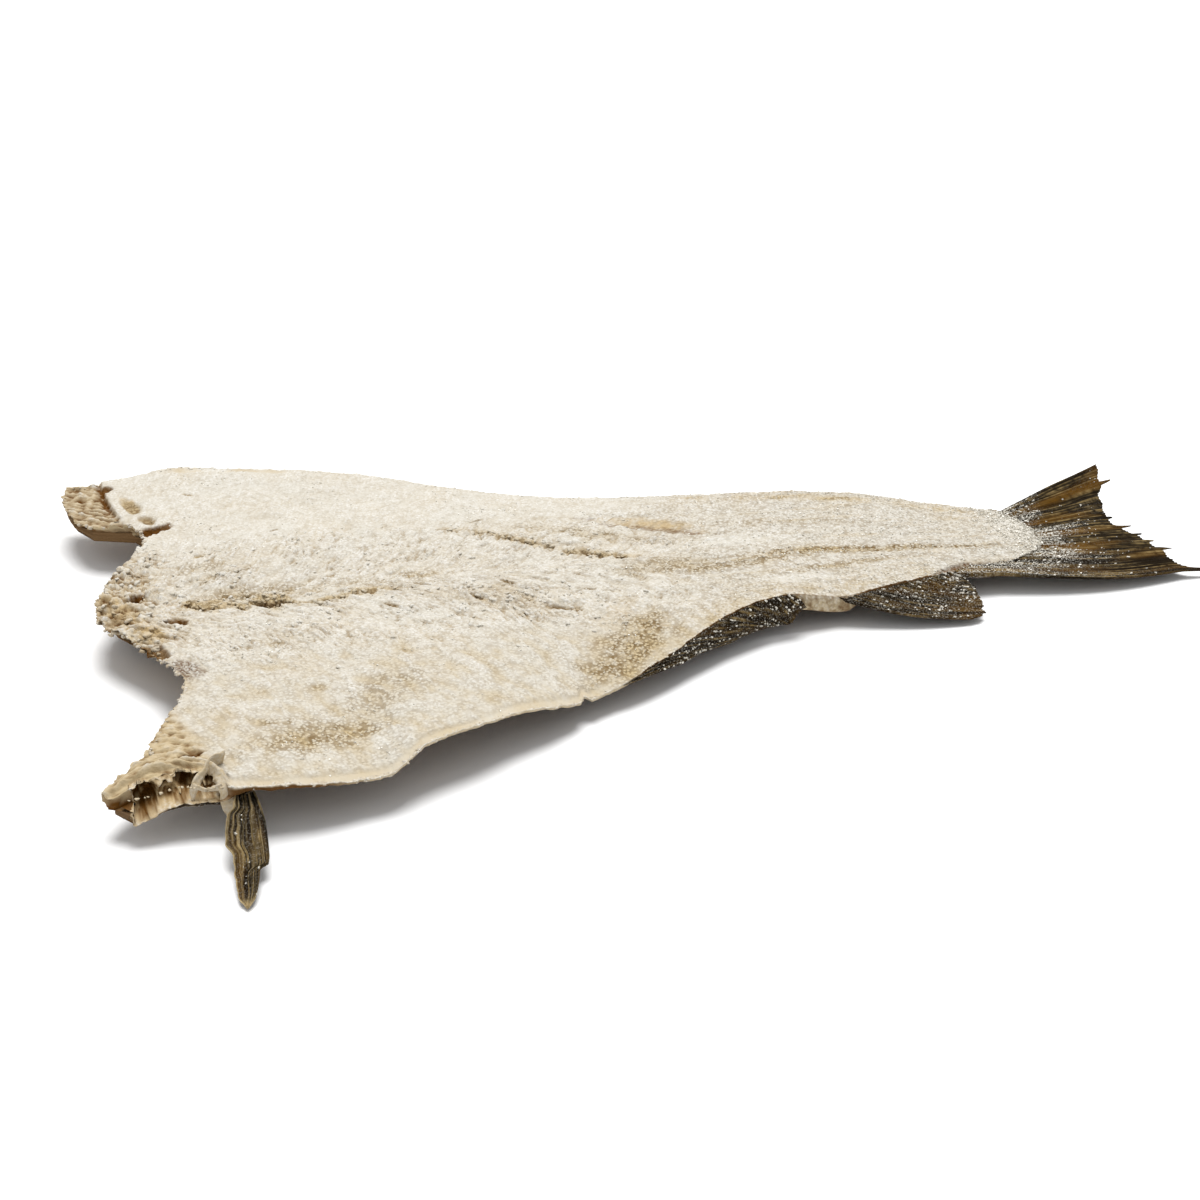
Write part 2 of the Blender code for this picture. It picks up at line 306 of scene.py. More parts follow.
class Tear:
    """Torn line in the flesh: broken hollows of changing width under a raised far lip."""

    def __init__(self, *stations):
        self.line = Profile(*[(x, y) for x, y, _, _ in stations])
        self.width = Profile(*[(x, width * MM) for x, _, width, _ in stations])
        self.depth = Profile(*[(x, depth * MM) for x, _, _, depth in stations])
        self.start, self.end = stations[0][0], stations[-1][0]

    def effect(self, x, y):
        """Change of height, how much bare flesh shows, and how much brown painted shade lies in the hollow.
        """
        if not self.start - 4 * MM < x < self.end + 4 * MM:
            return 0.0, 0.0, 0.0
        width, depth = self.width(x), self.depth(x)
        off = y - self.line(x)
        if abs(off) > 9.0 * width + 4 * MM:
            return 0.0, 0.0, 0.0
        off += 1.9 * MM * rough(x, y, 8 * MM, 3, 7.0)
        fade = ease((x - self.start + 3 * MM) / (4 * MM)) * ease((self.end + 3 * MM - x) / (4 * MM))
        clump = ease(0.62 + 1.3 * rough(x, 0.6 * y, 5.5 * MM, 2, 8.0))
        clump = max(clump, ease((depth - 2.5 * MM) / (2.0 * MM)))
        slope = width if off < 0.0 else 0.6 * width
        hollow = ease(1.5 - abs(off) / slope) * clump
        lip = math.exp(-((off - 2.6 * width) / (1.5 * width)) ** 2)
        bare = math.exp(-((off - 0.2 * width) / (1.9 * width)) ** 2) * (0.45 + 0.55 * clump)
        change = depth * (0.45 * lip - hollow)
        # Painted shade: brown in the hollow, darker for deeper tears.
        brown = clamp01(1.6 * hollow) * clamp01(depth / (3.6 * MM))
        return change * fade, bare * fade * clamp01(depth / (2.0 * MM)), brown * fade


# Torn lines, as (x, y, half width in mm, depth in mm).
TEARS = (
    Tear((-0.262, 0.006, 1.6, 1.6), (-0.247, -0.007, 3.2, 4.0), (-0.240, -0.004, 1.4, 1.6),
         (-0.232, -0.012, 2.2, 2.8), (-0.225, -0.004, 2.4, 3.8), (-0.218, -0.009, 4.2, 5.8),
         (-0.210, -0.008, 3.4, 5.2), (-0.202, -0.014, 1.1, 1.8), (-0.195, -0.016, 0.9, 1.4),
         (-0.187, -0.014, 2.1, 3.4), (-0.179, -0.015, 1.7, 2.8), (-0.173, -0.008, 2.2, 1.4),
         (-0.159, -0.010, 2.6, 1.4), (-0.148, -0.010, 1.5, 0.7)),
    Tear((-0.109, 0.066, 1.8, 0.8), (-0.087, 0.059, 2.0, 0.9), (-0.074, 0.045, 1.8, 1.2),
         (-0.062, 0.035, 1.6, 1.7), (-0.047, 0.026, 1.2, 0.9), (-0.040, 0.019, 1.7, 1.7),
         (-0.033, 0.016, 2.6, 2.9), (-0.023, 0.011, 2.2, 2.5), (-0.012, 0.007, 1.6, 1.8),
         (-0.002, 0.005, 1.2, 0.8)),
)

# Torn holes, as (spot, depth in mm, brown share); the brown is painted shade over the walls of the hole.
HOLES = (
    (Spot(-0.292, 0.177, 4.5 * MM, 6.0 * MM, 20.0), 2.6, 0.9),
    (Spot(-0.301, 0.051, 5 * MM, 6.0 * MM), 5.0, 1.0),
    (Spot(-0.287, 0.020, 10 * MM, 4.0 * MM, 42.0), 4.5, 1.0),
    (Spot(-0.272, 0.105, 8 * MM, 7.0 * MM, 30.0), 3.6, 1.0),
    (Spot(-0.264, 0.107, 6 * MM, 4.5 * MM, 25.0), 2.6, 0.9),
    (Spot(-0.272, 0.121, 5 * MM, 10.0 * MM, 20.0), 1.8, 0.40),
    (Spot(-0.268, -0.017, 8 * MM, 5.0 * MM, -35.0), 2.8, 0.8),
    (Spot(-0.280, 0.145, 5.5 * MM, 19 * MM, 17.0), 1.9, 0.22),
    (Spot(-0.284, -0.048, 8 * MM, 14 * MM, 40.0), 3.0, 0.75),
    (Spot(-0.303, 0.020, 4 * MM, 9 * MM, 20.0), 1.6, 0.45),
    (Spot(-0.298, -0.006, 5 * MM, 8 * MM, 40.0), 1.8, 0.50),
    (Spot(-0.248, 0.062, 5 * MM, 2.5 * MM, 20.0), 1.6, 0.15),
    (Spot(-0.225, 0.036, 5 * MM, 1.4 * MM, 20.0), 1.6, 0.45),
    (Spot(-0.203, 0.085, 4 * MM, 1.0 * MM, 30.0), 1.2, 0.40),
    (Spot(-0.181, 0.021, 5 * MM, 1.2 * MM, 25.0), 1.2, 0.40),
    (Spot(-0.155, -0.033, 6 * MM, 1.4 * MM, -50.0), 1.5, 0.40),
    (Spot(-0.132, -0.010, 6 * MM, 1.2 * MM, -40.0), 1.3, 0.35),
    (Spot(-0.108, -0.031, 7 * MM, 1.5 * MM, -50.0), 1.6, 0.40),
    (Spot(-0.087, -0.018, 7 * MM, 1.4 * MM, -45.0), 1.4, 0.40),
    (Spot(-0.064, -0.052, 12 * MM, 2.0 * MM, -18.0), 1.8, 0.45),
    (Spot(-0.046, -0.036, 6 * MM, 1.4 * MM, -30.0), 1.2, 0.40),
    (Spot(-0.084, 0.077, 6 * MM, 1.2 * MM, 20.0), 1.3, 0.40),
    (Spot(-0.246, 0.150, 5 * MM, 1.4 * MM, -30.0), 1.0, 0.30),
    (Spot(-0.276, -0.172, 9 * MM, 3.0 * MM, 20.0), 2.6, 0.70),
)

# Places where tan flesh shows through the salt in grains, as (spot, share).
TAN_PATCHES = (
    (Spot(-0.215, -0.158, 48 * MM, 19 * MM, 14.0), 0.80),
    (Spot(-0.176, -0.124, 40 * MM, 22 * MM, 30.0), 0.40),
    (Spot(-0.222, -0.061, 20 * MM, 8 * MM, -30.0), 0.50),
    (Spot(-0.207, -0.112, 8 * MM, 5 * MM, 0.0), 0.45),
    (Spot(-0.236, -0.142, 14 * MM, 5 * MM, -20.0), 0.60),
    (Spot(-0.040, -0.096, 58 * MM, 22 * MM, 44.0), 1.00),
    (Spot(0.006, -0.014, 44 * MM, 19 * MM, -8.0), 0.60),
    (Spot(0.058, -0.020, 56 * MM, 8 * MM, 6.0), 0.60),
    (Spot(0.130, -0.012, 115 * MM, 6.0 * MM, -1.0), 1.00),
    (Spot(0.110, -0.030, 70 * MM, 5.0 * MM, 8.0), 0.50),
    (Spot(0.100, 0.030, 90 * MM, 10 * MM, -8.0), 0.20),
    (Spot(-0.132, 0.010, 18 * MM, 9 * MM, -10.0), 0.65),
    (Spot(-0.165, 0.008, 24 * MM, 10 * MM, -10.0), 0.35),
    (Spot(-0.225, 0.012, 44 * MM, 12 * MM, -4.0), 0.55),
    (Spot(-0.250, 0.046, 24 * MM, 10 * MM, 10.0), 0.40),
    (Spot(-0.030, 0.046, 60 * MM, 10 * MM, -30.0), 0.40),
)

# Smooth translucent flesh, as (spot, share), and heaps of salt, as (spot, height in mm).
AMBER_PATCHES = (
    (Spot(0.016, 0.045, 46 * MM, 10.0 * MM, -30.0), 0.80),
    (Spot(-0.033, -0.058, 22 * MM, 10 * MM, 40.0), 0.30),
    (Spot(-0.055, -0.090, 18 * MM, 7 * MM, 50.0), 0.20),
    (Spot(-0.284, -0.026, 17 * MM, 10 * MM, -50.0), 1.00),
    (Spot(-0.281, 0.150, 5.0 * MM, 15 * MM, 17.0), 0.80),
    (Spot(-0.298, 0.010, 12 * MM, 40 * MM, 20.0), 0.60),
    (Spot(-0.250, 0.000, 30 * MM, 10 * MM, -10.0), 0.35),
)
SALT_HEAPS = (
    (Spot(-0.063, -0.041, 17 * MM, 9 * MM, -12.0), 1.3),
    (Spot(0.045, 0.012, 60 * MM, 9 * MM, -3.0), 0.5),
    (Spot(0.236, 0.004, 22 * MM, 34 * MM, 0.0), 0.9),
    (Spot(0.075, -0.045, 25 * MM, 6 * MM, 10.0), 0.3),
    (Spot(-0.214, 0.004, 10 * MM, 5 * MM, -6.0), 0.8),
)
GOUGE = AMBER_PATCHES[0][0]
# Places where the flesh is torn into coarse crumbs, as (spot, share).
CRUMBLED_PATCHES = (
    (Spot(-0.228, 0.004, 50 * MM, 14 * MM, -4.0), 1.0),
    (Spot(-0.240, 0.034, 26 * MM, 10 * MM, 14.0), 0.6),
    (Spot(-0.092, -0.036, 52 * MM, 26 * MM, -30.0), 0.60),
    (Spot(-0.150, -0.006, 30 * MM, 12 * MM, 0.0), 0.55),
    (Spot(-0.060, 0.040, 46 * MM, 11 * MM, -32.0), 0.45),
    (Spot(0.010, 0.022, 34 * MM, 8 * MM, -30.0), 0.35),
    (Spot(-0.215, -0.050, 26 * MM, 12 * MM, -30.0), 0.35),
)
SKIN_PATCH = Spot(-0.270, -0.074, 17 * MM, 10 * MM, -65.0)

# Pale raised marks of the ribs on the near flap, as (x, y) of both ends.
RIBS = (
    ((-0.236, -0.070), (-0.226, -0.150)), ((-0.196, -0.055), (-0.190, -0.150)),
    ((-0.164, -0.028), (-0.155, -0.161)), ((-0.139, -0.010), (-0.121, -0.139)),
    ((-0.104, -0.040), (-0.088, -0.128)),
)
NEAR_FOLD_START = Profile((-0.205, -0.252), (-0.185, -0.262), (-0.150, -0.268), (-0.120, -0.276))
FOLD_LINE = Profile((0.080, -0.279), (0.105, -0.283), (0.133, -0.288), (0.165, -0.293), (0.200, -0.296))


def rib_mark(x, y):
    """1 on the pale line of a rib."""
    mark = 0.0
    for (x0, y0), (x1, y1) in RIBS:
        share = (y - y0) / (y1 - y0)
        if -0.05 < share < 1.05:
            off = x - mix(x0, x1, share) + 1.2 * MM * rough(y, x0, 20 * MM, 1, 40.0)
            ends = ease(4.0 * share) * ease(4.0 - 4.0 * share)
            mark = max(mark, math.exp(-(off / (1.1 * MM)) ** 2) * ends)
    return mark


def neck_share(x, y):
    """1 on the torn neck between the two notches of the nape."""
    return ease((-0.256 - x) / 0.030) * (1.0 - ease((abs(y - 0.012) - 0.046) / 0.030))


def rim_relief(x, inset, side):
    """Height change, tan share and pale share of the cut rim with its thin curled lip."""
    width = (7.0 + 3.0 * noise.noise(Vector((x / (32 * MM), side * 3.0, 8.0)))) * MM
    reach = 1.0 - 0.75 * ease((x + 0.075) / 0.03)
    if side > 0.0:
        reach *= 0.15 + 0.85 * window(x, -0.245, -0.190, 10 * MM)
    drop = ease((width + 1.5 * MM - inset) / (3.6 * MM)) * reach
    lip = math.exp(-(inset / (0.9 * MM)) ** 2)
    crinkle = noise.noise(Vector((x / (2.8 * MM), side * 3.0, 2.0)))
    crinkle += 0.6 * noise.noise(Vector((x / (8.0 * MM), side * 3.0, 5.0)))
    deep = 1.5 * MM if side < 0.0 else 0.8 * MM
    height = -deep * drop + (0.5 + 0.9 * crinkle) * MM * lip * reach
    return height, drop * (1.0 - lip), lip


def relief(x, y, across, inset):
    """Height change, tints (bare, salt, brown, amber) and graininess of the flesh at a point."""
    out = abs(y)
    side = 1.0 if across > 0.0 else -1.0
    tail = ease((x + 0.01) / 0.07)
    loin = (1.0 - ease((out - 0.055) / 0.035)) * (1.0 - tail)
    flap = (1.0 - loin) * (1.0 - tail)
    near_flap = flap if side < 0.0 else 0.0
    neck = neck_share(x, y)
    torn = 0.0
    for spot, share in CRUMBLED_PATCHES:
        torn = max(torn, share * spot.share(x, y, 0.9))

    along, cross = fibre_place(x, y)
    lumps = rough(x, y, 30 * MM, 2, 11.0)
    knobs = rough(cross, 0.6 * along, 9 * MM, 3, 12.0)
    grains = rough(x, y, 1.7 * MM, 2, 13.0)
    big = crumble(cross, 0.62 * along, 4.6 * MM, 21.0)
    small = crumble(x, y, 1.9 * MM, 22.0)
    streak = noise.noise(Vector((x / (38 * MM), y / (3.6 * MM), 16.0)))
    sweep = noise.noise(Vector((cross / (2.6 * MM), along / (16 * MM), 17.0)))
    coarse = clamp01(0.35 * neck + torn)

    split = clamp01(1.0 - 8.0 * abs(noise.noise(Vector((cross / (3.2 * MM), along / (10 * MM), 33.0)))))
    split *= ease(0.50 + 1.9 * rough(x, y, 9 * MM, 2, 34.0))
    split *= clamp01(0.9 * loin + 0.22 * flap + 0.14 * tail + 0.6 * torn)

    height = lumps * MM * (1.1 * loin + 0.9 * flap + 0.6 * tail) - 1.5 * MM * split
    height += knobs * MM * (1.4 * loin + 0.75 * flap + 0.45 * tail + 1.5 * coarse)
    height += grains * MM * (0.30 * loin + 0.36 * flap + 0.28 * tail + 0.3 * coarse)
    height += (small - 0.5) * MM * (0.32 * loin + 0.24 * flap + 0.50 * tail + 0.4 * coarse)
    height += (big - 0.5) * MM * (0.30 * loin + 1.5 * coarse)
    height += sweep * MM * (0.45 * loin + 0.16 * flap) + streak * MM * 0.6 * tail
    grainy = 0.24 * loin + 0.16 * flap + 0.16 * near_flap + 0.42 * tail + 0.25 * coarse
    bare = torn * (0.70 * (1.0 - big) + 0.45 * clamp01(-knobs)) + 0.20 * clamp01(-knobs) * loin
    brown = 0.35 * torn * (1.0 - big) ** 4
    amber = 0.25 * torn * clamp01(-knobs + 0.2)
    # The salt taken off the near flap is painted shade that makes the whole near flap darker.
    salt = 0.92 - 0.10 * flap - 0.44 * near_flap - 0.08 * tail + 0.45 * knobs + 0.35 * lumps
    salt -= 0.40 * torn * (1.0 - big) + 0.7 * split
    bare += tail * 0.42 * clamp01(1.6 * streak - 0.1) + 0.6 * split
    bare += near_flap * clamp01(0.10 - 0.5 * knobs)
    # The brown in the fibre splits is partly tan-brown stain and partly painted shade.
    brown += 0.32 * split
    patchy = clamp01(0.55 + 0.9 * rough(x, 0.3 * y, 16 * MM, 3, 35.0))
    if side > 0.0:
        strip = math.exp(-((inset - 9.0 * MM) / (4.5 * MM)) ** 2) * patchy
        bare += 0.9 * strip * ease((x - 0.03) / 0.04) * ease((0.245 - x) / 0.02)
    else:
        bare += 0.5 * ease((20 * MM - inset) / (16 * MM)) * ease((x + 0.06) / 0.05) * patchy

    bank = math.exp(-((y - mix(0.066, 0.129, (x + 0.267) / 0.104)) / (9 * MM)) ** 2)
    height -= 1.6 * MM * bank * ease((x + 0.29) / 0.03) * ease((-0.13 - x) / 0.03)
    seam = math.exp(-((y - mix(0.010, 0.004, x / 0.22)) / (7 * MM)) ** 2) * tail
    height -= 1.2 * MM * seam * ease((0.235 - x) / 0.05)
    ribs = rib_mark(x, y) * flap
    height += 0.45 * MM * ribs
    salt += 0.6 * ribs

    for tear in TEARS:
        change, more_bare, hollow_shade = tear.effect(x, y)
        height += change
        bare += more_bare
        # The brown in the tear hollows is painted shade.
        brown += 0.95 * hollow_shade
        amber += 0.5 * more_bare
        salt -= 1.2 * more_bare
    for spot, depth, dark in HOLES:
        hollow = spot.share(x, y, 0.7)
        if hollow > 0.0:
            height -= depth * MM * hollow
            bare += hollow
            # Painted shade: brown spread over the whole wall of the hole.
            brown += dark * clamp01(mix(0.6, 2.6, dark) * hollow)
            salt -= hollow
    for spot, share in TAN_PATCHES:
        tan = spot.share(x, y, 0.8) * share
        if tan > 0.0:
            pits = (1.0 - small) * (0.6 + 0.8 * clamp01(0.5 + grains))
            height -= 0.55 * MM * tan * pits
            bare += tan * (0.30 + 0.70 * pits) * (0.4 + 0.6 * patchy)
            grainy += 0.8 * tan
            salt -= 0.50 * tan * (0.5 + pits)
    for spot, share in AMBER_PATCHES:
        clear = spot.share(x, y, 0.8) * share * clamp01(0.80 + 0.8 * knobs + 0.3 * grains)
        amber += clear
        salt -= clear
        bare += 0.2 * clear
    gouged = GOUGE.share(x, y, 0.28)
    below = 0.047 - 0.55 * (x - 0.016) - y
    height = mix(height, 0.25 * height - 1.6 * MM * clamp01(0.5 + below / (8 * MM)), gouged)
    rag = 2.0 * MM * rough(x, y, 5 * MM, 2, 47.0)
    low_edge = ease((below + rag - 2 * MM) / (4 * MM)) + ease((-0.012 - x + rag) / (6 * MM))
    brown += 0.75 * gouged * clamp01(low_edge) * clamp01(0.9 - 0.9 * small + 0.5 * grains)
    for spot, heap in SALT_HEAPS:
        piled = spot.share(x, y, 0.6)
        height += heap * MM * piled
        salt += 0.5 * piled
        bare *= 1.0 - 0.8 * piled
        brown *= 1.0 - 0.8 * piled
        grainy *= 1.0 - 0.7 * piled
    skin = SKIN_PATCH.share(x, y, 0.6)
    height += 0.9 * MM * skin * (small - 0.3)
    brown += 0.9 * skin * clamp01(1.1 - 1.5 * small + 0.6 * grains)
    salt += 0.4 * skin

    flakes = strands(x, y, -25.0, 4.4 * MM, 24 * MM, 31.0)
    torn_off = strands(x, y, -45.0, 1.5 * MM, 9 * MM, 32.0)
    torn_off += 0.6 * rough(x, y, 3.4 * MM, 3, 38.0)
    height += neck * MM * (3.2 * flakes + 1.7 * torn_off)
    low = clamp01(-1.3 * flakes - 1.1 * torn_off + 0.12 + 0.30 * ease((-0.280 - x) / 0.015))
    bare += neck * (0.16 + 0.50 * low)
    amber += neck * (0.15 + 0.60 * low)
    # Painted shade: brown in the low gaps between the torn strands of the neck.
    brown += neck * clamp01(1.2 * low - 0.40)
    salt -= neck * (0.30 - 0.8 * flakes - 0.7 * torn_off)

    collar = ease((FOLD_LINE(y) - x) / (1.6 * MM) + 0.5) * ease((y - 0.095) / 0.02)
    fibres = 0.7 * strands(x, y, -47.0, 1.8 * MM, 15 * MM, 18.0)
    fibres += 0.5 * rough(x, y, 4.5 * MM, 3, 36.0)
    sunk = 2.0 + 1.5 * ease((FOLD_LINE(y) - x) / (20 * MM))
    # Painted shade: a brown line along the fold where the flap overhangs the collar, over a real shallow
    # groove.
    crease = math.exp(-((x - FOLD_LINE(y) + 1.5 * MM) / (2.2 * MM)) ** 2) * collar
    crease *= 0.35 + 0.65 * ease((y - 0.135) / 0.02)
    height = mix(height, MM * (2.4 * fibres - sunk), collar) - 1.8 * MM * crease
    bare += collar * (0.60 - 0.6 * fibres)
    brown += collar * clamp01(0.36 - 1.4 * fibres) + crease * clamp01(0.75 + 0.8 * grains)
    amber += collar * (0.45 - 0.5 * fibres)
    salt -= collar * (0.85 - 1.5 * fibres)
    near_fold = ease((NEAR_FOLD_START(y) - x) / (12 * MM)) * ease((-0.105 - y) / 0.012)
    ridge_fibres = 0.6 * strands(x, y, -20.0, 2.2 * MM, 13 * MM, 19.0)
    ridge_fibres += 0.7 * rough(x, y, 5 * MM, 3, 39.0)
    ridge = math.exp(-((inset - 7 * MM) / (7 * MM)) ** 2) * ease((-0.270 - x) / 0.012)
    height += near_fold * MM * (1.8 * ridge_fibres + 2.6 * ridge)
    bare += near_fold * (0.50 - 0.5 * ridge_fibres)
    brown += near_fold * 0.8 * clamp01(0.08 - 1.6 * ridge_fibres)
    amber += near_fold * (0.55 - 0.6 * ridge_fibres)
    salt -= near_fold * (0.50 - 0.9 * ridge_fibres)

    change, tan, pale = rim_relief(x, inset, side)
    height = height * (1.0 - 0.7 * tan - 0.5 * pale) + change
    band = tan * (1.0 - neck) * (1.0 - 0.7 * ease((x + 0.08) / 0.03))
    band *= clamp01(0.50 + 1.3 * noise.noise(Vector((x / (24 * MM), side * 3.0, 9.0))) + 0.5 * knobs)
    band *= 1.0 - 0.45 * ease((x + 0.150) / 0.03)
    bare += 0.50 * band
    amber += 0.30 * band
    salt += 0.45 * pale - 0.7 * band
    smooth = max(collar, near_fold, tan * (1.0 - tail), 0.6 * neck)
    grainy = max(grainy, 0.8 * bare) * (1.0 - 0.9 * smooth)
    brown *= 1.0 - pale
    salt -= 0.55 * clamp01(bare)
    hem = -inset + 9.0 * MM * ease((x - 0.150) / 0.035) if side < 0.0 else -inset
    hemmed = ease(hem / (3.0 * MM) + 0.5 + 0.5 * grains) * ease((x - 0.150) / 0.01)
    height -= 1.6 * MM * hemmed
    brown = mix(brown, 0.75 + 0.5 * grains, hemmed)
    salt = mix(salt, 0.35, hemmed)
    frost = ease((x - flesh_cut(y) + 22 * MM) / (14 * MM)) * (1.0 - hemmed)
    salt += 0.6 * frost
    bare *= 1.0 - 0.7 * frost
    return height, (clamp01(bare), clamp01(salt), clamp01(brown), clamp01(amber)), clamp01(grainy)


# ---- Meshes of the body -------------------------------------------------------------------------
TOP_ROWS = 230
RIM_ROWS = 26
UNDER_ROWS = 14
NAPE_FACE = 7.0 * MM
TAIL_NOSE = 10.0 * MM
END_FADE = 130 * MM
RIM_EDGE = 2.2 * MM
# Where the body is parted into its front and rear pieces.
PARTING_X = -0.080

# Hollows in the torn edge of the near collar, as (x, half width, place down the edge, half height,
# depth), with the places down the edge running from 0 at the upper lip to 1 at the lower one.
COLLAR_HOLLOWS = (
    (-0.3125, 5.5 * MM, 0.48, 0.46, 9 * MM),
    (-0.3010, 7.0 * MM, 0.44, 0.42, 13 * MM),
    (-0.2895, 5.5 * MM, 0.60, 0.32, 8 * MM),
    (-0.2790, 7.0 * MM, 0.44, 0.42, 14 * MM),
    (-0.2665, 5.0 * MM, 0.44, 0.36, 11 * MM),
)
COLLAR_LEAN = 15.0 * MM
COLLAR_DEPTH = 13.0 * MM


def column_stations(start, end):
    """Places along the fish of the grid's columns: close at the nape, wider on the tail."""
    places = [start]
    while places[-1] < end:
        x = places[-1]
        step = mix(0.36 * MM, 0.78 * MM, ease((x - NAPE_X) / 0.012))
        step = mix(step, 1.25 * MM, ease((x + 0.08) / 0.03))
        places.append(min(x + step, end))
    return places


def plan(station, across):
    """Place on the table of a point of the flesh sheet, and how far inside the edge it lies."""
    lip = max(station - NAPE_FACE, NAPE_X)
    nape_share = clamp01(1.0 - (lip - NAPE_X) / NAPE_FADE) ** 2
    end_share = clamp01(1.0 - (FLESH_END - station) / END_FADE) ** 2
    near, far = near_edge(lip), far_edge(min(lip, 0.24))
    y = mix(near, far, 0.5 + 0.5 * across)
    x = lip + (torn_nape(y) - NAPE_X) * nape_share
    x += (flesh_cut(y) + 1.6 * MM * rough(y, 0.0, 5 * MM, 3, 6.0) - FLESH_END) * end_share
    near, far = outline(x)
    y = mix(near, far, 0.5 + 0.5 * across)
    inset = far - y if across > 0.0 else y - near
    return x, y, inset


def round_share(share):
    """Rise of a rounded end, 0 at its middle height and 1 where it meets the face."""
    return math.sin(0.5 * math.pi * clamp01(share))


def collar_share(x, side):
    """1 along the near collar, where the edge is torn open into hollows."""
    return ease((-0.260 - x) / 0.008) if side < 0.0 else 0.0


def collar_lean(x, side):
    """How far the upper lip of the near collar leans back over its lower one."""
    return COLLAR_LEAN * ease((x + 0.324) / 0.028) * collar_share(x, side)


def collar_edge(x, down):
    """Inward shift and tints of the torn edge of the near collar, from upper to lower lip."""
    strand = rough(x, 0.018 * down, 4.2 * MM, 3, 92.0)
    fine = rough(x, 0.018 * down, 1.8 * MM, 2, 93.0)
    depth = 0.0
    for at, width, middle, half, deepest in COLLAR_HOLLOWS:
        lean = 4.0 * MM * (down - 0.5)
        off = math.hypot((x - at - lean) / width, (down - middle) / half) + 0.30 * strand
        depth = max(depth, deepest * clamp01(1.0 - off * off) ** 0.45)
    lips = clamp01(1.0 - math.sin(math.pi * down) / 0.6)
    roll = math.exp(-((down - 0.86) / 0.12) ** 2)
    shift = depth + 1.5 * MM - 2.0 * MM * strand - 0.8 * MM * fine - 1.5 * MM * lips
    shift -= (3.0 + 1.5 * rough(x, 0.0, 7 * MM, 2, 94.0)) * MM * roll
    deep = clamp01(depth / COLLAR_DEPTH)
    # Painted shade: brown that deepens with the depth of each hollow in the torn edge.
    brown = clamp01(0.30 + 0.75 * deep - 1.1 * strand - 0.7 * fine - 0.5 * lips)
    salt = clamp01(0.8 * lips + 1.3 * strand + 0.5 * fine - 0.8 * deep - 0.10)
    return shift, (clamp01(0.30 - 0.3 * deep), salt, brown, clamp01(0.80 + 0.3 * deep))


def nape_face(y, z, down):
    """Forward shift and tints of the crumbled cut face at the nape; down is 1 at its lip."""
    if down >= 1.0:
        return 0.0, (0.0, 0.0, 0.0, 0.0)
    knobs = rough(y, z, 6.0 * MM, 3, 51.0)
    cells = crumble(y, z, 3.4 * MM, 52.0)
    shift = (3.2 * knobs + 1.6 * (cells - 0.4)) * MM * ease(3.0 * (1.0 - down))
    neck = 1.0 - ease((abs(y - 0.014) - 0.075) / 0.02)
    # Painted shade: brown that grows away from the lip, deeper in under the undercut.
    brown = clamp01(0.15 + 0.75 * (1.0 - down) - 0.9 * knobs - 0.25 * cells)
    return shift, (0.85, clamp01(0.45 * cells + 0.5 * knobs) * neck, brown, 0.55)


def belly_drop(x, share, side):
    """How far the tan belly skin hangs under the near edge between the two anal fins."""
    if side > 0.0:
        return 0.0
    return 5.5 * MM * window(x, 0.072, 0.098, 16 * MM) * ease((share - 0.75) / 0.20)


def faces_of(station, side, share):
    """Place, upper and lower heights and openness of the sheet, without its fine relief."""
    across = side * share
    x, y, inset = plan(station, across)
    upper = upper_height(x, y, across)
    lower = lower_height(x, across, upper) + 0.6 * SKIN_THICKNESS
    thin = ease((share - 0.965) / 0.035) * ease((x + 0.255) / 0.045)
    thin *= 1.0 - window(x, 0.072, 0.098, 16 * MM) * (1.0 if side < 0.0 else 0.0)
    lower = mix(lower, upper - RIM_EDGE, 0.8 * thin) - belly_drop(x, share, side)
    if side < 0.0:
        lower += 3.5 * MM * window(x, -0.284, -0.262, 20 * MM) * ease((share - 0.88) / 0.12)
    down = clamp01((station - NAPE_X) / NAPE_FACE)
    opened = max(round_share(down) * round_share((FLESH_END - station) / TAIL_NOSE), 0.04)
    return x, y, inset, upper, lower, down, opened


@functools.lru_cache(maxsize=None)
def edge_of(station, side):
    """Everything about the outermost point of a column that its rim is made from."""
    x, y, inset, upper, lower, down, opened = faces_of(station, side, 1.0)
    change, tints, grainy = relief(x, y, side, inset)
    return x, y, upper, upper + change, lower, down, opened, tints


def body_section(station, side, row):
    """Point, tints and graininess of one row of a column: flesh side, rim, then under face."""
    if TOP_ROWS < row < TOP_ROWS + RIM_ROWS:
        return rim_section(station, side, (row - TOP_ROWS) / RIM_ROWS)
    if row <= TOP_ROWS:
        share = row / TOP_ROWS
        share *= 1.20 - 0.20 * share
    else:
        share = (TOP_ROWS + RIM_ROWS + UNDER_ROWS - row) / UNDER_ROWS
    x, y, inset, upper, lower, down, opened = faces_of(station, side, share)
    middle = mix(lower, upper, 0.5)
    if row > TOP_ROWS:
        z = middle + (lower - middle) * opened
        x += undercut(x, y) * (1.0 + 0.2 * down) - nape_face(y, z, down)[0]
        return Vector((x, y, z)), (0.9, 0.0, 0.85, 0.2), 0.0
    change, tints, grainy = relief(x, y, side * share, inset)
    z = middle + (upper + change - middle) * opened
    y += collar_lean(x, side) * share ** 4
    shift, face = nape_face(y, z, down)
    edge = ease((1.0 - down) / 0.25)
    tints = tuple(mix(own, cut, edge) for own, cut in zip(tints, face))
    return Vector((x + undercut(x, y) * (1.0 - down) ** 1.4 - shift, y, z)), tints, grainy


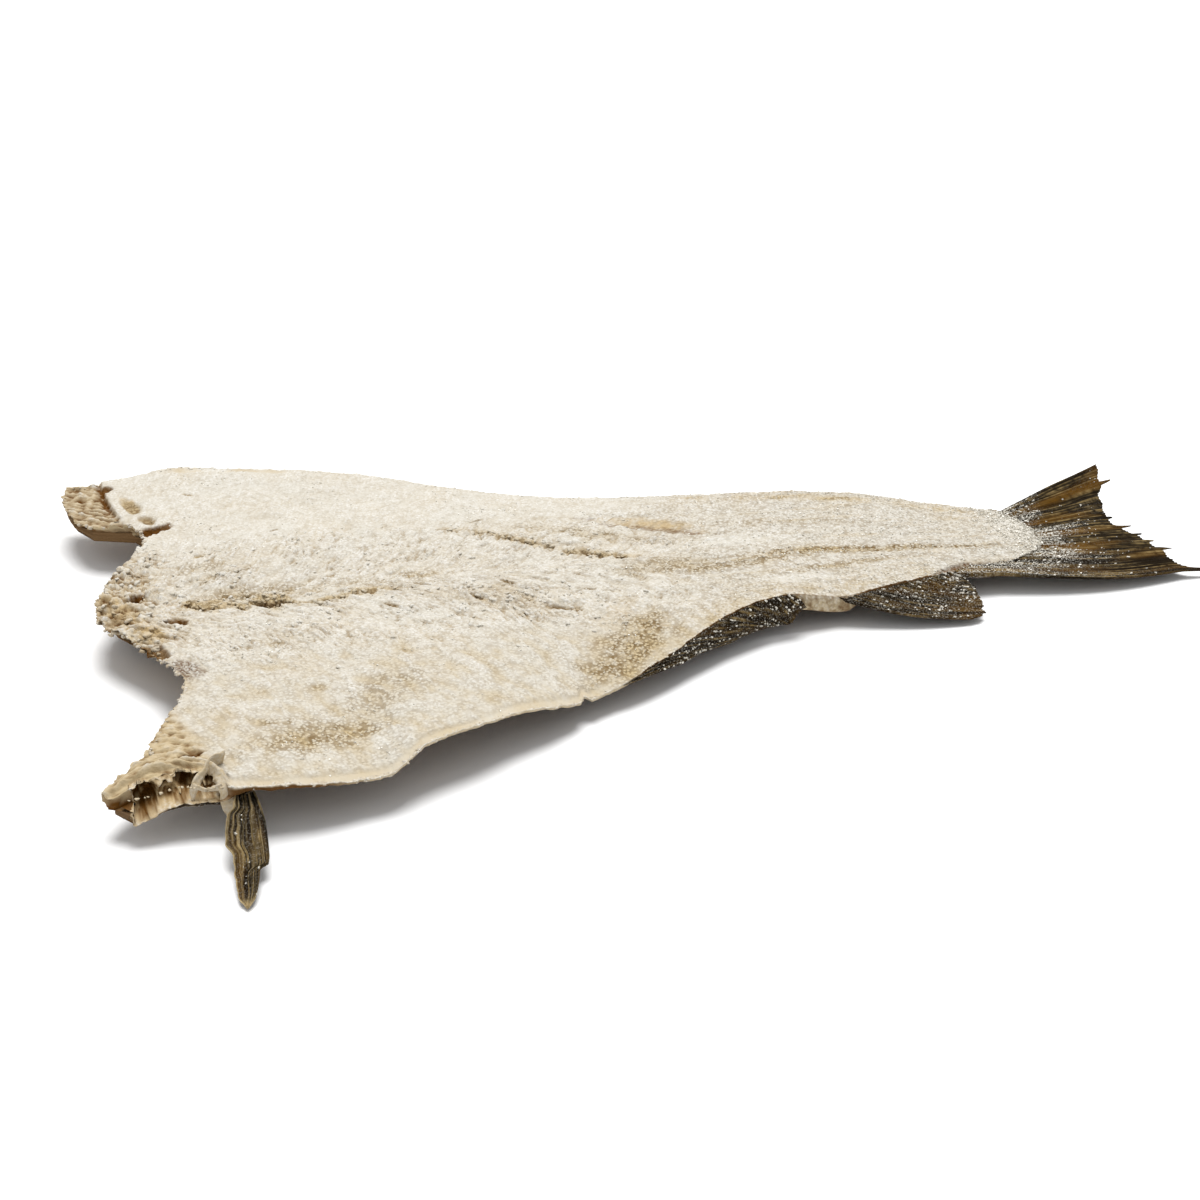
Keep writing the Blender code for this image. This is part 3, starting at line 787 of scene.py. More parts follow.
def rim_section(station, side, turn):
    """Point, tints and graininess of the rim, from its upper lip at 0 to its lower one at 1."""
    x, y, upper, top, lower, down, opened, _ = edge_of(station, side)
    middle = mix(lower, upper, 0.5)
    top, low = middle + (top - middle) * opened, middle + (lower - middle) * opened
    z = mix(top, low, 0.5 - 0.5 * math.cos(math.pi * turn))
    bulge = 0.45 * 0.5 * (top - low) * math.sin(math.pi * turn)
    under = ease((turn - 0.15) / 0.3)
    # Painted shade: the under half of the near rim towards the nape is darkened with brown, where the
    # raised flap hangs in its own shade.
    dark = under * (1.0 - ease((x + 0.228) / 0.04)) * (side < 0.0)
    wall = ease((x + 0.055) / 0.02) * (side < 0.0)
    # The brown of the rim wall and the painted shade of the under half are taken together.
    brown_and_shade = max(0.95 * dark, 0.85 * wall * ease((turn - 0.04) / 0.15))
    gap = window(x, 0.066, 0.100, 10 * MM) * (side < 0.0)
    ends = clamp01(abs(x - 0.082) / (16 * MM) - 0.3 + 1.6 * rough(x, 14 * MM * turn, 3.2 * MM, 2, 95.0))
    brown_and_shade = mix(brown_and_shade, 0.70 * ends, gap * ease(turn / 0.25))
    plain = (mix(0.30, 0.8, under), clamp01(0.8 - 0.5 * under - brown_and_shade), brown_and_shade, 0.15)
    collar = collar_share(x, side)
    shift, hollowed = collar_edge(x, turn)
    shift = shift * collar * opened ** 0.5 + collar_lean(x, side) * (1.0 - turn)
    tints = tuple(mix(own, other, collar) for own, other in zip(plain, hollowed))
    y += side * bulge * (1.0 - collar) + shift
    x += undercut(x, y) * (1.0 - down) ** 1.4 - nape_face(y, z, down)[0]
    return Vector((x, y, z)), tints, 0.1 + 0.9 * wall * (1.0 - 0.5 * gap)


def grid(columns, rows):
    mesh = bmesh.new()
    bmesh.ops.create_grid(mesh, x_segments=columns, y_segments=rows, size=1.0)
    return mesh


def grid_cell(corner, columns, rows):
    """Column and row number of a corner of a fresh grid."""
    return round((corner.co.x + 1.0) * 0.5 * columns), round((corner.co.y + 1.0) * 0.5 * rows)


def make_body_piece(side, start, end):
    """A front or rear stretch of one half of the body, as one closed sheet."""
    stations = column_stations(start, end)
    columns = len(stations) - 1
    rows = TOP_ROWS + RIM_ROWS + UNDER_ROWS
    mesh = grid(columns, rows)
    tint = mesh.verts.layers.float_color.new("tint")
    fibre = mesh.verts.layers.float_vector.new("fibre")
    seam, upper, under = set(), set(), set()
    for corner in mesh.verts:
        column, row = grid_cell(corner, columns, rows)
        if row in (0, rows):
            seam.add(corner)
        if column in (0, columns) and row <= TOP_ROWS:
            upper.add(corner)
        if column in (0, columns) and row >= TOP_ROWS + RIM_ROWS:
            under.add(corner)
        corner.co, corner[tint], grainy = body_section(stations[column], side, row)
        along, cross = fibre_place(corner.co.x, corner.co.y)
        corner[fibre] = Vector((cross, along, grainy))
    close_body(mesh, seam, upper, under)
    return mesh


def close_body(mesh, seam, upper, under):
    """Wall along the backbone line, and both ends shut from the upper to the under face."""
    open_edges = [edge for edge in mesh.edges if edge.is_boundary]
    for edge in open_edges:
        edge.smooth = False
    wall = [edge for edge in open_edges if set(edge.verts) <= seam]
    ends = [edge for edge in open_edges if set(edge.verts) <= upper or set(edge.verts) <= under]
    bmesh.ops.bridge_loops(mesh, edges=wall)
    middle = 0.5 * (min(v.co.x for v in upper) + max(v.co.x for v in upper))
    for front in (True, False):
        chains = [edge for edge in ends if (edge.verts[0].co.x < middle) == front]
        bmesh.ops.bridge_loops(mesh, edges=chains)
    bmesh.ops.holes_fill(mesh, edges=[e for e in mesh.edges if e.is_boundary], sides=0)
    bmesh.ops.recalc_face_normals(mesh, faces=mesh.faces)


# ---- Materials ----------------------------------------------------------------------------------
def colour(text):
    """Linear RGBA of an sRGB hex colour."""
    channels = [int(text[i:i + 2], 16) / 255.0 for i in (1, 3, 5)]
    return (*[c / 12.92 if c <= 0.04045 else ((c + 0.055) / 1.055) ** 2.4 for c in channels], 1.0)


def add_node(tree, kind, inputs, output=0, **settings):
    """Output of a new node of a kind, with its settings and with values or links on its inputs."""
    made = tree.nodes.new(kind)
    for name, value in settings.items():
        setattr(made, name, value)
    for name, value in inputs.items():
        if isinstance(value, bpy.types.NodeSocket):
            tree.links.new(value, made.inputs[name])
        else:
            made.inputs[name].default_value = value
    return made.outputs[output]


def new_material(name):
    material = bpy.data.materials.new(name)
    material.use_nodes = True
    tree = material.node_tree
    return material, tree, tree.nodes["Principled BSDF"]


NOISE, CELLS, BUMP = "ShaderNodeTexNoise", "ShaderNodeTexVoronoi", "ShaderNodeBump"
RANGE, MATH, VECTORS = "ShaderNodeMapRange", "ShaderNodeMath", "ShaderNodeVectorMath"
MIX, TINT = "ShaderNodeMix", "ShaderNodeAttribute"
# Sockets of a colour mix: how much of the second colour, the two colours, and the result.
SHARE, FIRST, SECOND, MIXED = 0, 6, 7, 2


def dried_cod_flesh(colours):
    """Cod flesh, cured in coarse salt and dried: dull, chalky where the salt dried on it."""
    material, tree, shader = new_material("dried_cod_flesh")
    place = add_node(tree, "ShaderNodeTexCoord", {}, "Object")
    shares = add_node(tree, TINT, {}, "Color", attribute_name="tint")
    amber = add_node(tree, TINT, {}, "Alpha", attribute_name="tint")
    fibre = add_node(tree, TINT, {}, "Vector", attribute_name="fibre")
    bare = add_node(tree, "ShaderNodeSeparateColor", {"Color": shares}, "Red")
    salt = add_node(tree, "ShaderNodeSeparateColor", {"Color": shares}, "Green")
    brown = add_node(tree, "ShaderNodeSeparateColor", {"Color": shares}, "Blue")
    grainy_share = add_node(tree, "ShaderNodeSeparateXYZ", {"Vector": fibre}, "Z")
    # Grains of dried salt of about 1.4 mm on a crust of 5 mm lumps, over blotches of 34 mm, with
    # pits between lumps of just under 2 mm and faint streaks of 2 mm along the muscle fibres.
    grain = add_node(tree, NOISE, {"Vector": place, "Scale": 1.0 / (1.4 * MM), "Detail": 3.0})
    crust = add_node(tree, NOISE, {"Vector": place, "Scale": 1.0 / (5.0 * MM), "Detail": 3.0})
    blotch = add_node(tree, NOISE, {"Vector": place, "Scale": 1.0 / (34 * MM), "Detail": 4.0})
    pits = add_node(tree, CELLS, {"Vector": place, "Scale": 1.0 / (1.9 * MM)})
    stretched = add_node(tree, VECTORS, {0: fibre, 1: (1.0, 0.15, 0.0)}, operation="MULTIPLY")
    streak = add_node(tree, NOISE, {"Vector": stretched, "Scale": 1.0 / (2.0 * MM), "Detail": 3.0})
    warmth = add_node(tree, RANGE, {"Value": blotch, "From Min": 0.38, "From Max": 0.66})
    warm = add_node(tree, MIX, {SHARE: warmth, FIRST: colours.flesh[:],
                                SECOND: colours.warm_flesh[:]}, MIXED, data_type="RGBA")
    clear = add_node(tree, MIX, {SHARE: amber, FIRST: warm, SECOND: colours.amber_flesh[:]},
                     MIXED, data_type="RGBA")
    opened = add_node(tree, MIX, {SHARE: bare, FIRST: clear, SECOND: colours.bare_flesh[:]},
                      MIXED, data_type="RGBA")
    grainy = add_node(tree, RANGE, {"Value": grain, "From Min": 0.36, "From Max": 0.60})
    crusty = add_node(tree, RANGE, {"Value": crust, "From Min": 0.28, "From Max": 0.52})
    streaky = add_node(tree, RANGE, {"Value": streak, "From Min": 0.25, "From Max": 0.55})
    crusted = add_node(tree, MATH, {0: crusty, 1: streaky}, operation="MULTIPLY")
    chalk = add_node(tree, MATH, {0: grainy, 1: crusted}, operation="MULTIPLY")
    dust = add_node(tree, MATH, {0: salt, 1: chalk}, operation="MULTIPLY")
    dusted = add_node(tree, MIX, {SHARE: dust, FIRST: opened, SECOND: colours.salted_flesh[:]},
                      MIXED, data_type="RGBA")
    gaps = add_node(tree, RANGE, {"Value": pits, "From Min": 0.36, "From Max": 0.60})
    uneven = add_node(tree, RANGE, {"Value": crust, "From Min": 0.66, "From Max": 0.40,
                                    "To Min": 0.35})
    dotted = add_node(tree, MATH, {0: gaps, 1: uneven}, operation="MULTIPLY")
    dots = add_node(tree, MATH, {0: dotted, 1: grainy_share}, operation="MULTIPLY")
    pitted = add_node(tree, MIX, {SHARE: dots, FIRST: dusted, SECOND: colours.pitted_flesh[:]},
                      MIXED, data_type="RGBA")
    # The brown share lays on browned flesh, and also painted shade in hollows, creases, splits and under
    # the rim.
    deep = add_node(tree, MIX, {SHARE: brown, FIRST: pitted, SECOND: colours.brown_and_shaded_flesh[:]},
                    MIXED, data_type="RGBA")
    grained = add_node(tree, BUMP, {"Height": grain, "Strength": 0.6, "Distance": 0.8 * MM})
    rougher = add_node(tree, BUMP, {"Height": dots, "Strength": 0.6, "Distance": -0.9 * MM,
                                    "Normal": grained})
    tree.links.new(deep, shader.inputs["Base Color"])
    tree.links.new(rougher, shader.inputs["Normal"])
    shader.inputs["Roughness"].default_value = 0.75
    shader.inputs["Specular IOR Level"].default_value = 0.05
    return material


def dried_cod_skin(colours):
    """Scaly cod skin, salted and dried to leather: grey-brown mottling under a dust of salt."""
    material, tree, shader = new_material("dried_cod_skin")
    place = add_node(tree, "ShaderNodeTexCoord", {}, "Object")
    shares = add_node(tree, TINT, {}, "Color", attribute_name="tint")
    line = add_node(tree, "ShaderNodeSeparateColor", {"Color": shares}, "Red")
    salt = add_node(tree, "ShaderNodeSeparateColor", {"Color": shares}, "Green")
    # Mottles of 9 mm, scales of just under 2 mm, and salt dust of about 1 mm.
    mottle = add_node(tree, NOISE, {"Vector": place, "Scale": 1.0 / (9 * MM), "Detail": 5.0})
    scales = add_node(tree, CELLS, {"Vector": place, "Scale": 1.0 / (1.9 * MM)})
    dust = add_node(tree, NOISE, {"Vector": place, "Scale": 1.0 / (1.2 * MM), "Detail": 2.0})
    mottled = add_node(tree, RANGE, {"Value": mottle, "From Min": 0.42, "From Max": 0.60})
    ground = add_node(tree, MIX, {SHARE: mottled, FIRST: colours.skin[:],
                                  SECOND: colours.pale_skin[:]}, MIXED, data_type="RGBA")
    striped = add_node(tree, MIX, {SHARE: line, FIRST: ground, SECOND: colours.pale_skin[:]},
                       MIXED, data_type="RGBA")
    speckled = add_node(tree, RANGE, {"Value": dust, "From Min": 0.52, "From Max": 0.66})
    salted = add_node(tree, MATH, {0: salt, 1: speckled}, operation="MULTIPLY")
    dusted = add_node(tree, MIX, {SHARE: salted, FIRST: striped,
                                  SECOND: colours.salted_flesh[:]}, MIXED, data_type="RGBA")
    scaled = add_node(tree, BUMP, {"Height": scales, "Strength": 0.5, "Distance": 0.5 * MM})
    tree.links.new(dusted, shader.inputs["Base Color"])
    tree.links.new(scaled, shader.inputs["Normal"])
    shader.inputs["Roughness"].default_value = 0.6
    return material


def dried_fin_membrane(colours):
    """Cod fin dried hard over its rays: dark olive brown, amber on the rays, slightly glossy."""
    material, tree, shader = new_material("dried_fin_membrane")
    place = add_node(tree, "ShaderNodeTexCoord", {}, "Object")
    shares = add_node(tree, TINT, {}, "Color", attribute_name="tint")
    pale = add_node(tree, TINT, {}, "Alpha", attribute_name="tint")
    ray = add_node(tree, "ShaderNodeSeparateColor", {"Color": shares}, "Red")
    salt = add_node(tree, "ShaderNodeSeparateColor", {"Color": shares}, "Green")
    amber = add_node(tree, "ShaderNodeSeparateColor", {"Color": shares}, "Blue")
    # Stains of 4 mm in the membrane, and salt dust just under 1 mm.
    mottle = add_node(tree, NOISE, {"Vector": place, "Scale": 1.0 / (4 * MM), "Detail": 4.0})
    dust = add_node(tree, NOISE, {"Vector": place, "Scale": 1.0 / (0.9 * MM), "Detail": 2.0})
    stained = add_node(tree, RANGE, {"Value": mottle, "From Min": 0.30, "From Max": 0.55,
                                     "To Min": 0.5})
    clear = add_node(tree, MATH, {0: amber, 1: stained}, operation="MULTIPLY")
    worn = add_node(tree, RANGE, {"Value": mottle, "From Min": 0.30, "From Max": 0.62})
    bony = add_node(tree, MATH, {0: ray, 1: worn}, operation="MULTIPLY")
    dark = add_node(tree, MIX, {SHARE: clear, FIRST: colours.fin[:],
                                SECOND: colours.fin_amber[:]}, MIXED, data_type="RGBA")
    lit = add_node(tree, MIX, {SHARE: bony, FIRST: dark, SECOND: colours.fin_ray[:]}, MIXED,
                   data_type="RGBA")
    edged = add_node(tree, MIX, {SHARE: pale, FIRST: lit, SECOND: colours.pale_membrane[:]},
                     MIXED, data_type="RGBA")
    speckled = add_node(tree, RANGE, {"Value": dust, "From Min": 0.52, "From Max": 0.64})
    salted = add_node(tree, MATH, {0: salt, 1: speckled}, operation="MULTIPLY")
    dusted = add_node(tree, MIX, {SHARE: salted, FIRST: edged, SECOND: colours.salt[:]}, MIXED,
                      data_type="RGBA")
    uneven = add_node(tree, BUMP, {"Height": mottle, "Strength": 0.4, "Distance": 0.5 * MM})
    tree.links.new(dusted, shader.inputs["Base Color"])
    tree.links.new(uneven, shader.inputs["Normal"])
    shader.inputs["Roughness"].default_value = 0.45
    shader.inputs["Specular IOR Level"].default_value = 0.01
    return material


def curing_salt(colours):
    """Coarse curing salt: milky crystals of sodium chloride with glossy broken faces, IOR 1.54."""
    material, tree, shader = new_material("curing_salt")
    place = add_node(tree, "ShaderNodeTexCoord", {}, "Object")
    # Every few millimetres the crystals are a little milkier or clearer.
    cloud = add_node(tree, NOISE, {"Vector": place, "Scale": 1.0 / (1.5 * MM), "Detail": 1.0})
    milky = add_node(tree, RANGE, {"Value": cloud, "From Min": 0.35, "From Max": 0.65})
    white = add_node(tree, MIX, {SHARE: milky, FIRST: colours.damp_salt[:],
                                 SECOND: colours.salt[:]}, MIXED, data_type="RGBA")
    tree.links.new(white, shader.inputs["Base Color"])
    shader.inputs["Roughness"].default_value = 0.30
    shader.inputs["IOR"].default_value = 1.54
    return material


# ---- Fins ---------------------------------------------------------------------------------------
class RayFin:
    """Thin fin of membrane over bony rays; place(along, out) gives its middle surface."""

    def __init__(self, place, side, rays, columns, rows, seed):
        self.place = place
        self.side = side.normalized()
        self.rays = rays
        self.columns = columns
        self.rows = rows
        self.seed = seed
        self.ridge = 0.45 * MM
        self.membrane = 0.5 * MM
        self.base = 1.6 * MM
        self.ragged = 0.05
        self.curl = 1.2 * MM
        self.salt = 0.15
        self.amber = 0.3
        self.hairs = 0.5
        self.wobble = 0.45
        self.corner_cut = 1.5
        self.points = ()
        self.pale_edge = 0.0
        self.pale_rays = 0.0

    def ray_height(self, along, out):
        """1 on a ray, 0 between two rays; the rays branch in two towards their tips."""
        wobble = self.wobble * noise.noise(Vector((along * 9.0, 0.8 * out, self.seed)))
        phase = math.pi * (self.rays * along + wobble)
        single = abs(math.cos(phase)) ** 4
        double = abs(math.cos(2.0 * phase)) ** 3
        return mix(single, double, 0.7 * ease((out - 0.45) / 0.3))

    def reach(self, along):
        """Share of the full length that is left of the torn ray at a place along the fin."""
        torn = noise.noise(Vector((along * self.rays * 0.25, self.seed, 3.0)))
        torn += 0.8 * noise.noise(Vector((along * self.rays * 0.7, self.seed, 6.0)))
        torn += 0.2 * self.ray_height(along, 1.0) - 0.1
        torn -= self.corner_cut * (1.0 - ease(min(along, 1.0 - along) / 0.06))
        spike = sum(length * clamp01(1.0 - abs(along - at) / width)
                    for at, width, length in self.points)
        return 1.0 + self.ragged * torn + spike

    def corner(self, along, out, top):
        """Point of the upper or under face, and the tints there."""
        ray = self.ray_height(along, out)
        place = self.place(along, out * mix(1.0, self.reach(along), ease((out - 0.3) / 0.7)))
        curl = self.curl * out * noise.noise(Vector((along * 4.5, out * 2.0, self.seed)))
        half = 0.5 * mix(self.base, self.membrane, ease(out / 0.4))
        half += self.ridge * ray * (1.0 - 0.5 * out)
        lane = along * self.rays
        fade = noise.noise(Vector((0.45 * lane, 1.6 * out, self.seed + 7.0)))
        fine = noise.noise(Vector((1.7 * lane, 3.0 * out, self.seed + 11.0)))
        hairs = clamp01(4.0 * noise.noise(Vector((3.3 * lane, 2.6 * out, self.seed + 15.0))) - 0.7)
        edge = ease((out - 0.93) / 0.07) + ease((0.03 - along) / 0.03)
        pale = self.pale_edge * edge + self.pale_rays * ray * clamp01(0.6 + 1.4 * fine)
        tints = (clamp01(ray * (0.15 + 1.2 * fine) + self.hairs * hairs), self.salt_at(along, out),
                 clamp01(self.amber * (0.35 + 2.4 * fade + 0.8 * fine)), clamp01(pale))
        return place + self.side * (curl + (half if top else -half)), tints

    def salt_at(self, along, out):
        """Share of salt dust at a place of the fin."""
        return self.salt

    def mesh(self):
        mesh = grid(self.columns, self.rows)
        tint = mesh.verts.layers.float_color.new("tint")
        under = list(mesh.verts)
        made = bmesh.ops.extrude_face_region(mesh, geom=list(mesh.faces), use_keep_orig=True)
        over = [item for item in made["geom"] if isinstance(item, bmesh.types.BMVert)]
        for top, corners in ((False, under), (True, over)):
            for corner in corners:
                along, out = 0.5 + 0.5 * corner.co.x, 0.5 + 0.5 * corner.co.y
                corner.co, corner[tint] = self.corner(along, out, top)
        bmesh.ops.recalc_face_normals(mesh, faces=mesh.faces)
        return mesh


def tail_salt(along, out):
    """How likely salt lies at a place of the tail fin: on its root, and in a streak outward."""
    lanes = clamp01(0.4 + 1.8 * noise.noise(Vector((16.0 * along, 1.5 * out, 25.0))))
    streak = math.exp(-((along - 0.56) / 0.06) ** 2) * (1.0 - ease((out - 0.45) / 0.4))
    near = 0.25 * (1.0 - ease(along / 0.4)) * (1.0 - ease((out - 0.4) / 0.5))
    root = 1.0 - ease((out - 0.22) / 0.24)
    return (0.9 * root + 0.9 * streak + near + 0.04) * (0.15 + 0.85 * lanes)


def tail_fin():
    """Forked tail fin, its far lobe raised and its near lobe low over the table."""

    def place(along, out):
        across = 2.0 * along - 1.0
        start = mix(0.170, 0.232, ease(along / 0.25)) + 8 * MM * ease((along - 0.8) / 0.2)
        root_y = mix(near_edge(start) - 0.5 * MM, 0.92 * far_edge(start), along)
        tip_y = mix(near_edge(TAIL_X), far_edge(TAIL_X), along)
        root = Vector((start, root_y, upper_height(start, root_y, across) - 2.5 * MM))
        tip_x = tail_cut(tip_y)
        tip = Vector((tip_x, tip_y, upper_height(tip_x, tip_y, across) - 1.0 * MM))
        swell = math.sin(math.pi * clamp01((out - 0.2) / 0.75))
        near_lobe = -8.0 * MM * swell * (1.0 - ease(along / 0.4))
        lift = 4.5 * MM * out ** 0.7 * ease((along - 0.5) / 0.5)
        return root + (tip - root) * out + Vector((0.0, near_lobe, lift))

    fin = RayFin(place, Vector((0.0, 0.0, 1.0)), 24, 300, 60, 21.0)
    fin.ragged = 0.035
    fin.points = ((0.015, 0.03, 0.10), (0.24, 0.012, 0.11), (0.33, 0.010, 0.06),
                  (0.42, 0.009, 0.07), (0.52, 0.014, 0.14), (0.62, 0.010, 0.05),
                  (0.88, 0.012, 0.10))
    fin.corner_cut = 0.5
    fin.curl = 2.2 * MM
    fin.ridge = 0.6 * MM
    fin.amber = 0.60
    fin.hairs = 0.8
    fin.salt_at = lambda along, out: clamp01(1.15 * tail_salt(along, out))
    return fin


def first_anal_fin():
    """Long low fin folded back under the near edge behind the vent, its end curled round."""
    start, end = -0.052, 0.064

    def place(along, out):
        x = mix(start, end, along)
        lobe = ease((along - 0.72) / 0.18)
        root = Vector((x, near_edge(x) + edge_wave(x, -1.0) - (0.4 + 2.2 * lobe) * MM,
                       near_top(x) - (1.8 - 1.6 * lobe) * MM))
        x += mix(44 * MM, 8 * MM, ease((along - 0.45) / 0.55))
        depth = mix(9.0 * MM, 15.5 * MM, ease(along / 0.30)) * (1.0 - 0.55 * ease((along - 0.85) / 0.15))
        tip = Vector((x, near_edge(x) + edge_wave(x, -1.0) - 4.0 * MM,
                      max(near_top(x) - 1.5 * MM - depth, 3.0 * MM)))
        bulge = math.sin(math.pi * clamp01(out))
        return root + (tip - root) * out + Vector((0.0, -2.2 * MM, 1.2 * MM)) * bulge

    fin = RayFin(place, Vector((0.0, -0.80, 0.60)), 16, 300, 30, 31.0)
    fin.amber = 0.12
    fin.ragged = 0.06
    return fin


def second_anal_fin():
    """Fin near the tail, its rays swept back to a torn end over the table."""

    def place(along, out):
        x = mix(0.092, 0.172, along)
        root = Vector((x, near_edge(x) + edge_wave(x, -1.0) - 0.4 * MM, near_top(x) - 2.0 * MM))
        tip = Vector((0.173 + 5.5 * MM * math.sin(2.6 * along), mix(-0.083, -0.045, along),
                      mix(3.5 * MM, 12.5 * MM, along)))
        bulge = math.sin(math.pi * clamp01(out)) * (1.0 - along)
        return root + (tip - root) * out + Vector((0.0, -5.0 * MM, -2.6 * MM)) * bulge

    fin = RayFin(place, Vector((0.0, -0.35, 0.94)), 15, 170, 90, 41.0)
    fin.ragged = 0.06
    fin.amber = 0.35
    fin.salt = 0.2
    fin.ridge = 0.55 * MM
    return fin


# Half widths of the pectoral fin to the left and right of its middle line, as (share out, width).
pectoral_left = Profile((0.00, 0.0030), (0.12, 0.0026), (0.27, 0.0034), (0.32, 0.0068),
                        (0.50, 0.0080), (0.60, 0.0052), (0.80, 0.0042), (0.93, 0.0032), (1.00, 0.0008))
pectoral_right = Profile((0.00, 0.0030), (0.12, 0.0050), (0.28, 0.0088), (0.44, 0.0108),
                         (0.66, 0.0112), (0.70, 0.0108), (0.735, 0.0070), (0.84, 0.0058), (0.95, 0.0036),
                         (1.00, 0.0008))


def pectoral_fin():
    """Narrow twisted fin that hangs from under the near collar down to the table."""
    root_at = Vector((-0.2560, -0.1780, 0.0245))
    tip_at = Vector((-0.2640, -0.2600, 0.0020))

    def place(along, out):
        offset = mix(-pectoral_left(out), pectoral_right(out), along)
        offset += 1.1 * MM * noise.noise(Vector((3.0 * along, 14.0 * out, 55.0))) * (1.0 - along)
        middle = root_at + (tip_at - root_at) * out
        sag = 2.0 * MM * math.sin(math.pi * clamp01(out))
        fold = 1.3 * MM * math.sin(5.0 * along + 1.5 + 2.0 * out) * math.sin(math.pi * clamp01(out))
        return middle + Vector((offset, 0.0, fold - sag))

    fin = RayFin(place, Vector((0.10, -0.24, 0.96)), 6, 110, 150, 51.0)
    fin.hairs = 1.0
    fin.ridge = 1.2 * MM
    fin.membrane = 0.7 * MM
    fin.ragged = 0.03
    fin.amber = 0.35
    fin.pale_edge = 0.8
    fin.pale_rays = 0.32
    fin.wobble = 1.2
    fin.curl = 0.8 * MM
    fin.salt = 0.1
    return fin


# ---- Torn membrane ------------------------------------------------------------------------------
def merged(*meshes):
    """One bmesh that holds several; the others are freed."""
    first, *others = meshes
    for other in others:
        data = bpy.data.meshes.new("part")
        other.to_mesh(data)
        other.free()
        first.from_mesh(data)
        bpy.data.meshes.remove(data)
    return first


def ribbon(points, widths, seed):
    """Thin strip of dried membrane through some points, facing the near side."""
    columns, rows = 30, 4
    mesh = grid(columns, rows)
    tint = mesh.verts.layers.float_color.new("tint")
    under = list(mesh.verts)
    made = bmesh.ops.extrude_face_region(mesh, geom=list(mesh.faces), use_keep_orig=True)
    over = [item for item in made["geom"] if isinstance(item, bmesh.types.BMVert)]
    count = len(points) - 1
    lines = [Profile(*[(i / count, point[k] * MM) for i, point in enumerate(points)])
             for k in range(3)]
    width = Profile(*[(i / count, value * MM) for i, value in enumerate(widths)])
    for thick, corners in ((0.35 * MM, under), (-0.35 * MM, over)):
        for corner in corners:
            along, across = 0.5 + 0.5 * corner.co.x, corner.co.y
            place = Vector([line(along) for line in lines])
            ahead = Vector([line(min(along + 0.02, 1.0)) - line(max(along - 0.02, 0.0))
                            for line in lines])
            sideways = ahead.cross(Vector((0.0, -1.0, 0.0))).normalized()
            wave = noise.noise(Vector((along * 5.0, across * 0.8, seed)))
            ragged = 1.0 + 0.45 * noise.noise(Vector((along * 9.0, across * 0.6, seed + 4.0)))
            place += sideways * across * 0.5 * width(along) * ragged
            corner.co = place + Vector((0.0, thick + 1.3 * MM * wave, 0.0))
            corner[tint] = (0.40 - 0.6 * wave, 0.45, 0.0, 0.55)
    bmesh.ops.recalc_face_normals(mesh, faces=mesh.faces)
    return mesh


def torn_membrane():
    """Thin crossed strands of dried membrane that hang from the corner of the near flap."""
    strands = (
        (((-262, -174, 30), (-267, -177, 31), (-272, -182, 29.5), (-277.5, -188, 25.5),
          (-279, -190, 19)), (9.0, 7.0, 4.0, 4.5, 1.5)),
        (((-278.5, -188, 25.5), (-274, -190, 24.0), (-270, -190.5, 23.6), (-265, -191, 24.5)),
         (2.6, 2.0, 2.4, 3.4)),
        (((-270, -179, 30), (-266, -185, 28), (-264, -191, 24), (-263.2, -193, 16),
          (-263, -193, 8)), (5.0, 6.5, 6.0, 7.5, 1.2)),
    )
    meshes = [ribbon(points, widths, 71.0 + 5.0 * i) for i, (points, widths) in enumerate(strands)]
    return merged(*meshes)


# ---- Skin side ----------------------------------------------------------------------------------
SKIN_COLUMNS = 300
SKIN_ROWS = 150
SKIN_START = NAPE_X + 14 * MM
SKIN_END = 0.250
LATERAL_LINE = Profile((-0.320, 0.62), (-0.150, 0.50), (0.000, 0.42), (0.250, 0.30))
# Dorsal fins pressed flat along the middle of the back, as (start x, end x, half width).
DORSAL_FINS = ((-0.215, -0.120, 0.013), (-0.095, 0.035, 0.011), (0.055, 0.165, 0.010))


def dorsal_share(x, y):
    """How far a folded dorsal fin stands out of the skin, with its rays swept back."""
    for start, end, half in DORSAL_FINS:
        share = (x - start) / (end - start)
        if 0.0 < share < 1.0:
            width = half * math.sin(math.pi * share ** 0.8)
            body = ease((width - abs(y - 0.006)) / (1.5 * MM))
            rays = 0.5 + 0.5 * math.sin((x - 2.2 * abs(y - 0.006)) / (0.9 * MM))
            return body * (0.55 + 0.45 * rays)
    return 0.0


def make_skin():
    """Dried skin over the whole under face, a thin closed sheet with scales of salt on it."""
    mesh = grid(SKIN_COLUMNS, SKIN_ROWS)
    tint = mesh.verts.layers.float_color.new("tint")
    outer = list(mesh.verts)
    made = bmesh.ops.extrude_face_region(mesh, geom=list(mesh.faces), use_keep_orig=True)
    inner = [item for item in made["geom"] if isinstance(item, bmesh.types.BMVert)]
    for outside, corners in ((True, outer), (False, inner)):
        for corner in corners:
            station = mix(SKIN_START, SKIN_END, 0.5 + 0.5 * corner.co.x)
            across = 0.985 * corner.co.y
            x, y, inset = plan(station, across)
            z = lower_height(x, across, upper_height(x, y, across))
            x += 1.2 * undercut(x, y)
            line = math.exp(-((abs(across) - LATERAL_LINE(x)) / 0.016) ** 2)
            fin = dorsal_share(x, y)
            wrinkle = 0.25 * MM * rough(x, 0.5 * y, 5 * MM, 2, 61.0)
            if outside:
                z += max(0.55 * MM - 0.45 * MM * fin + wrinkle - 0.2 * MM * line, 0.0)
            else:
                z += SKIN_THICKNESS
            corner.co = Vector((x, y, z))
            salt = clamp01(0.5 + rough(x, y, 30 * MM, 2, 62.0))
            corner[tint] = (0.7 * line, salt * (1.0 - fin), fin, 0.0)
    bmesh.ops.recalc_face_normals(mesh, faces=mesh.faces)
    return mesh


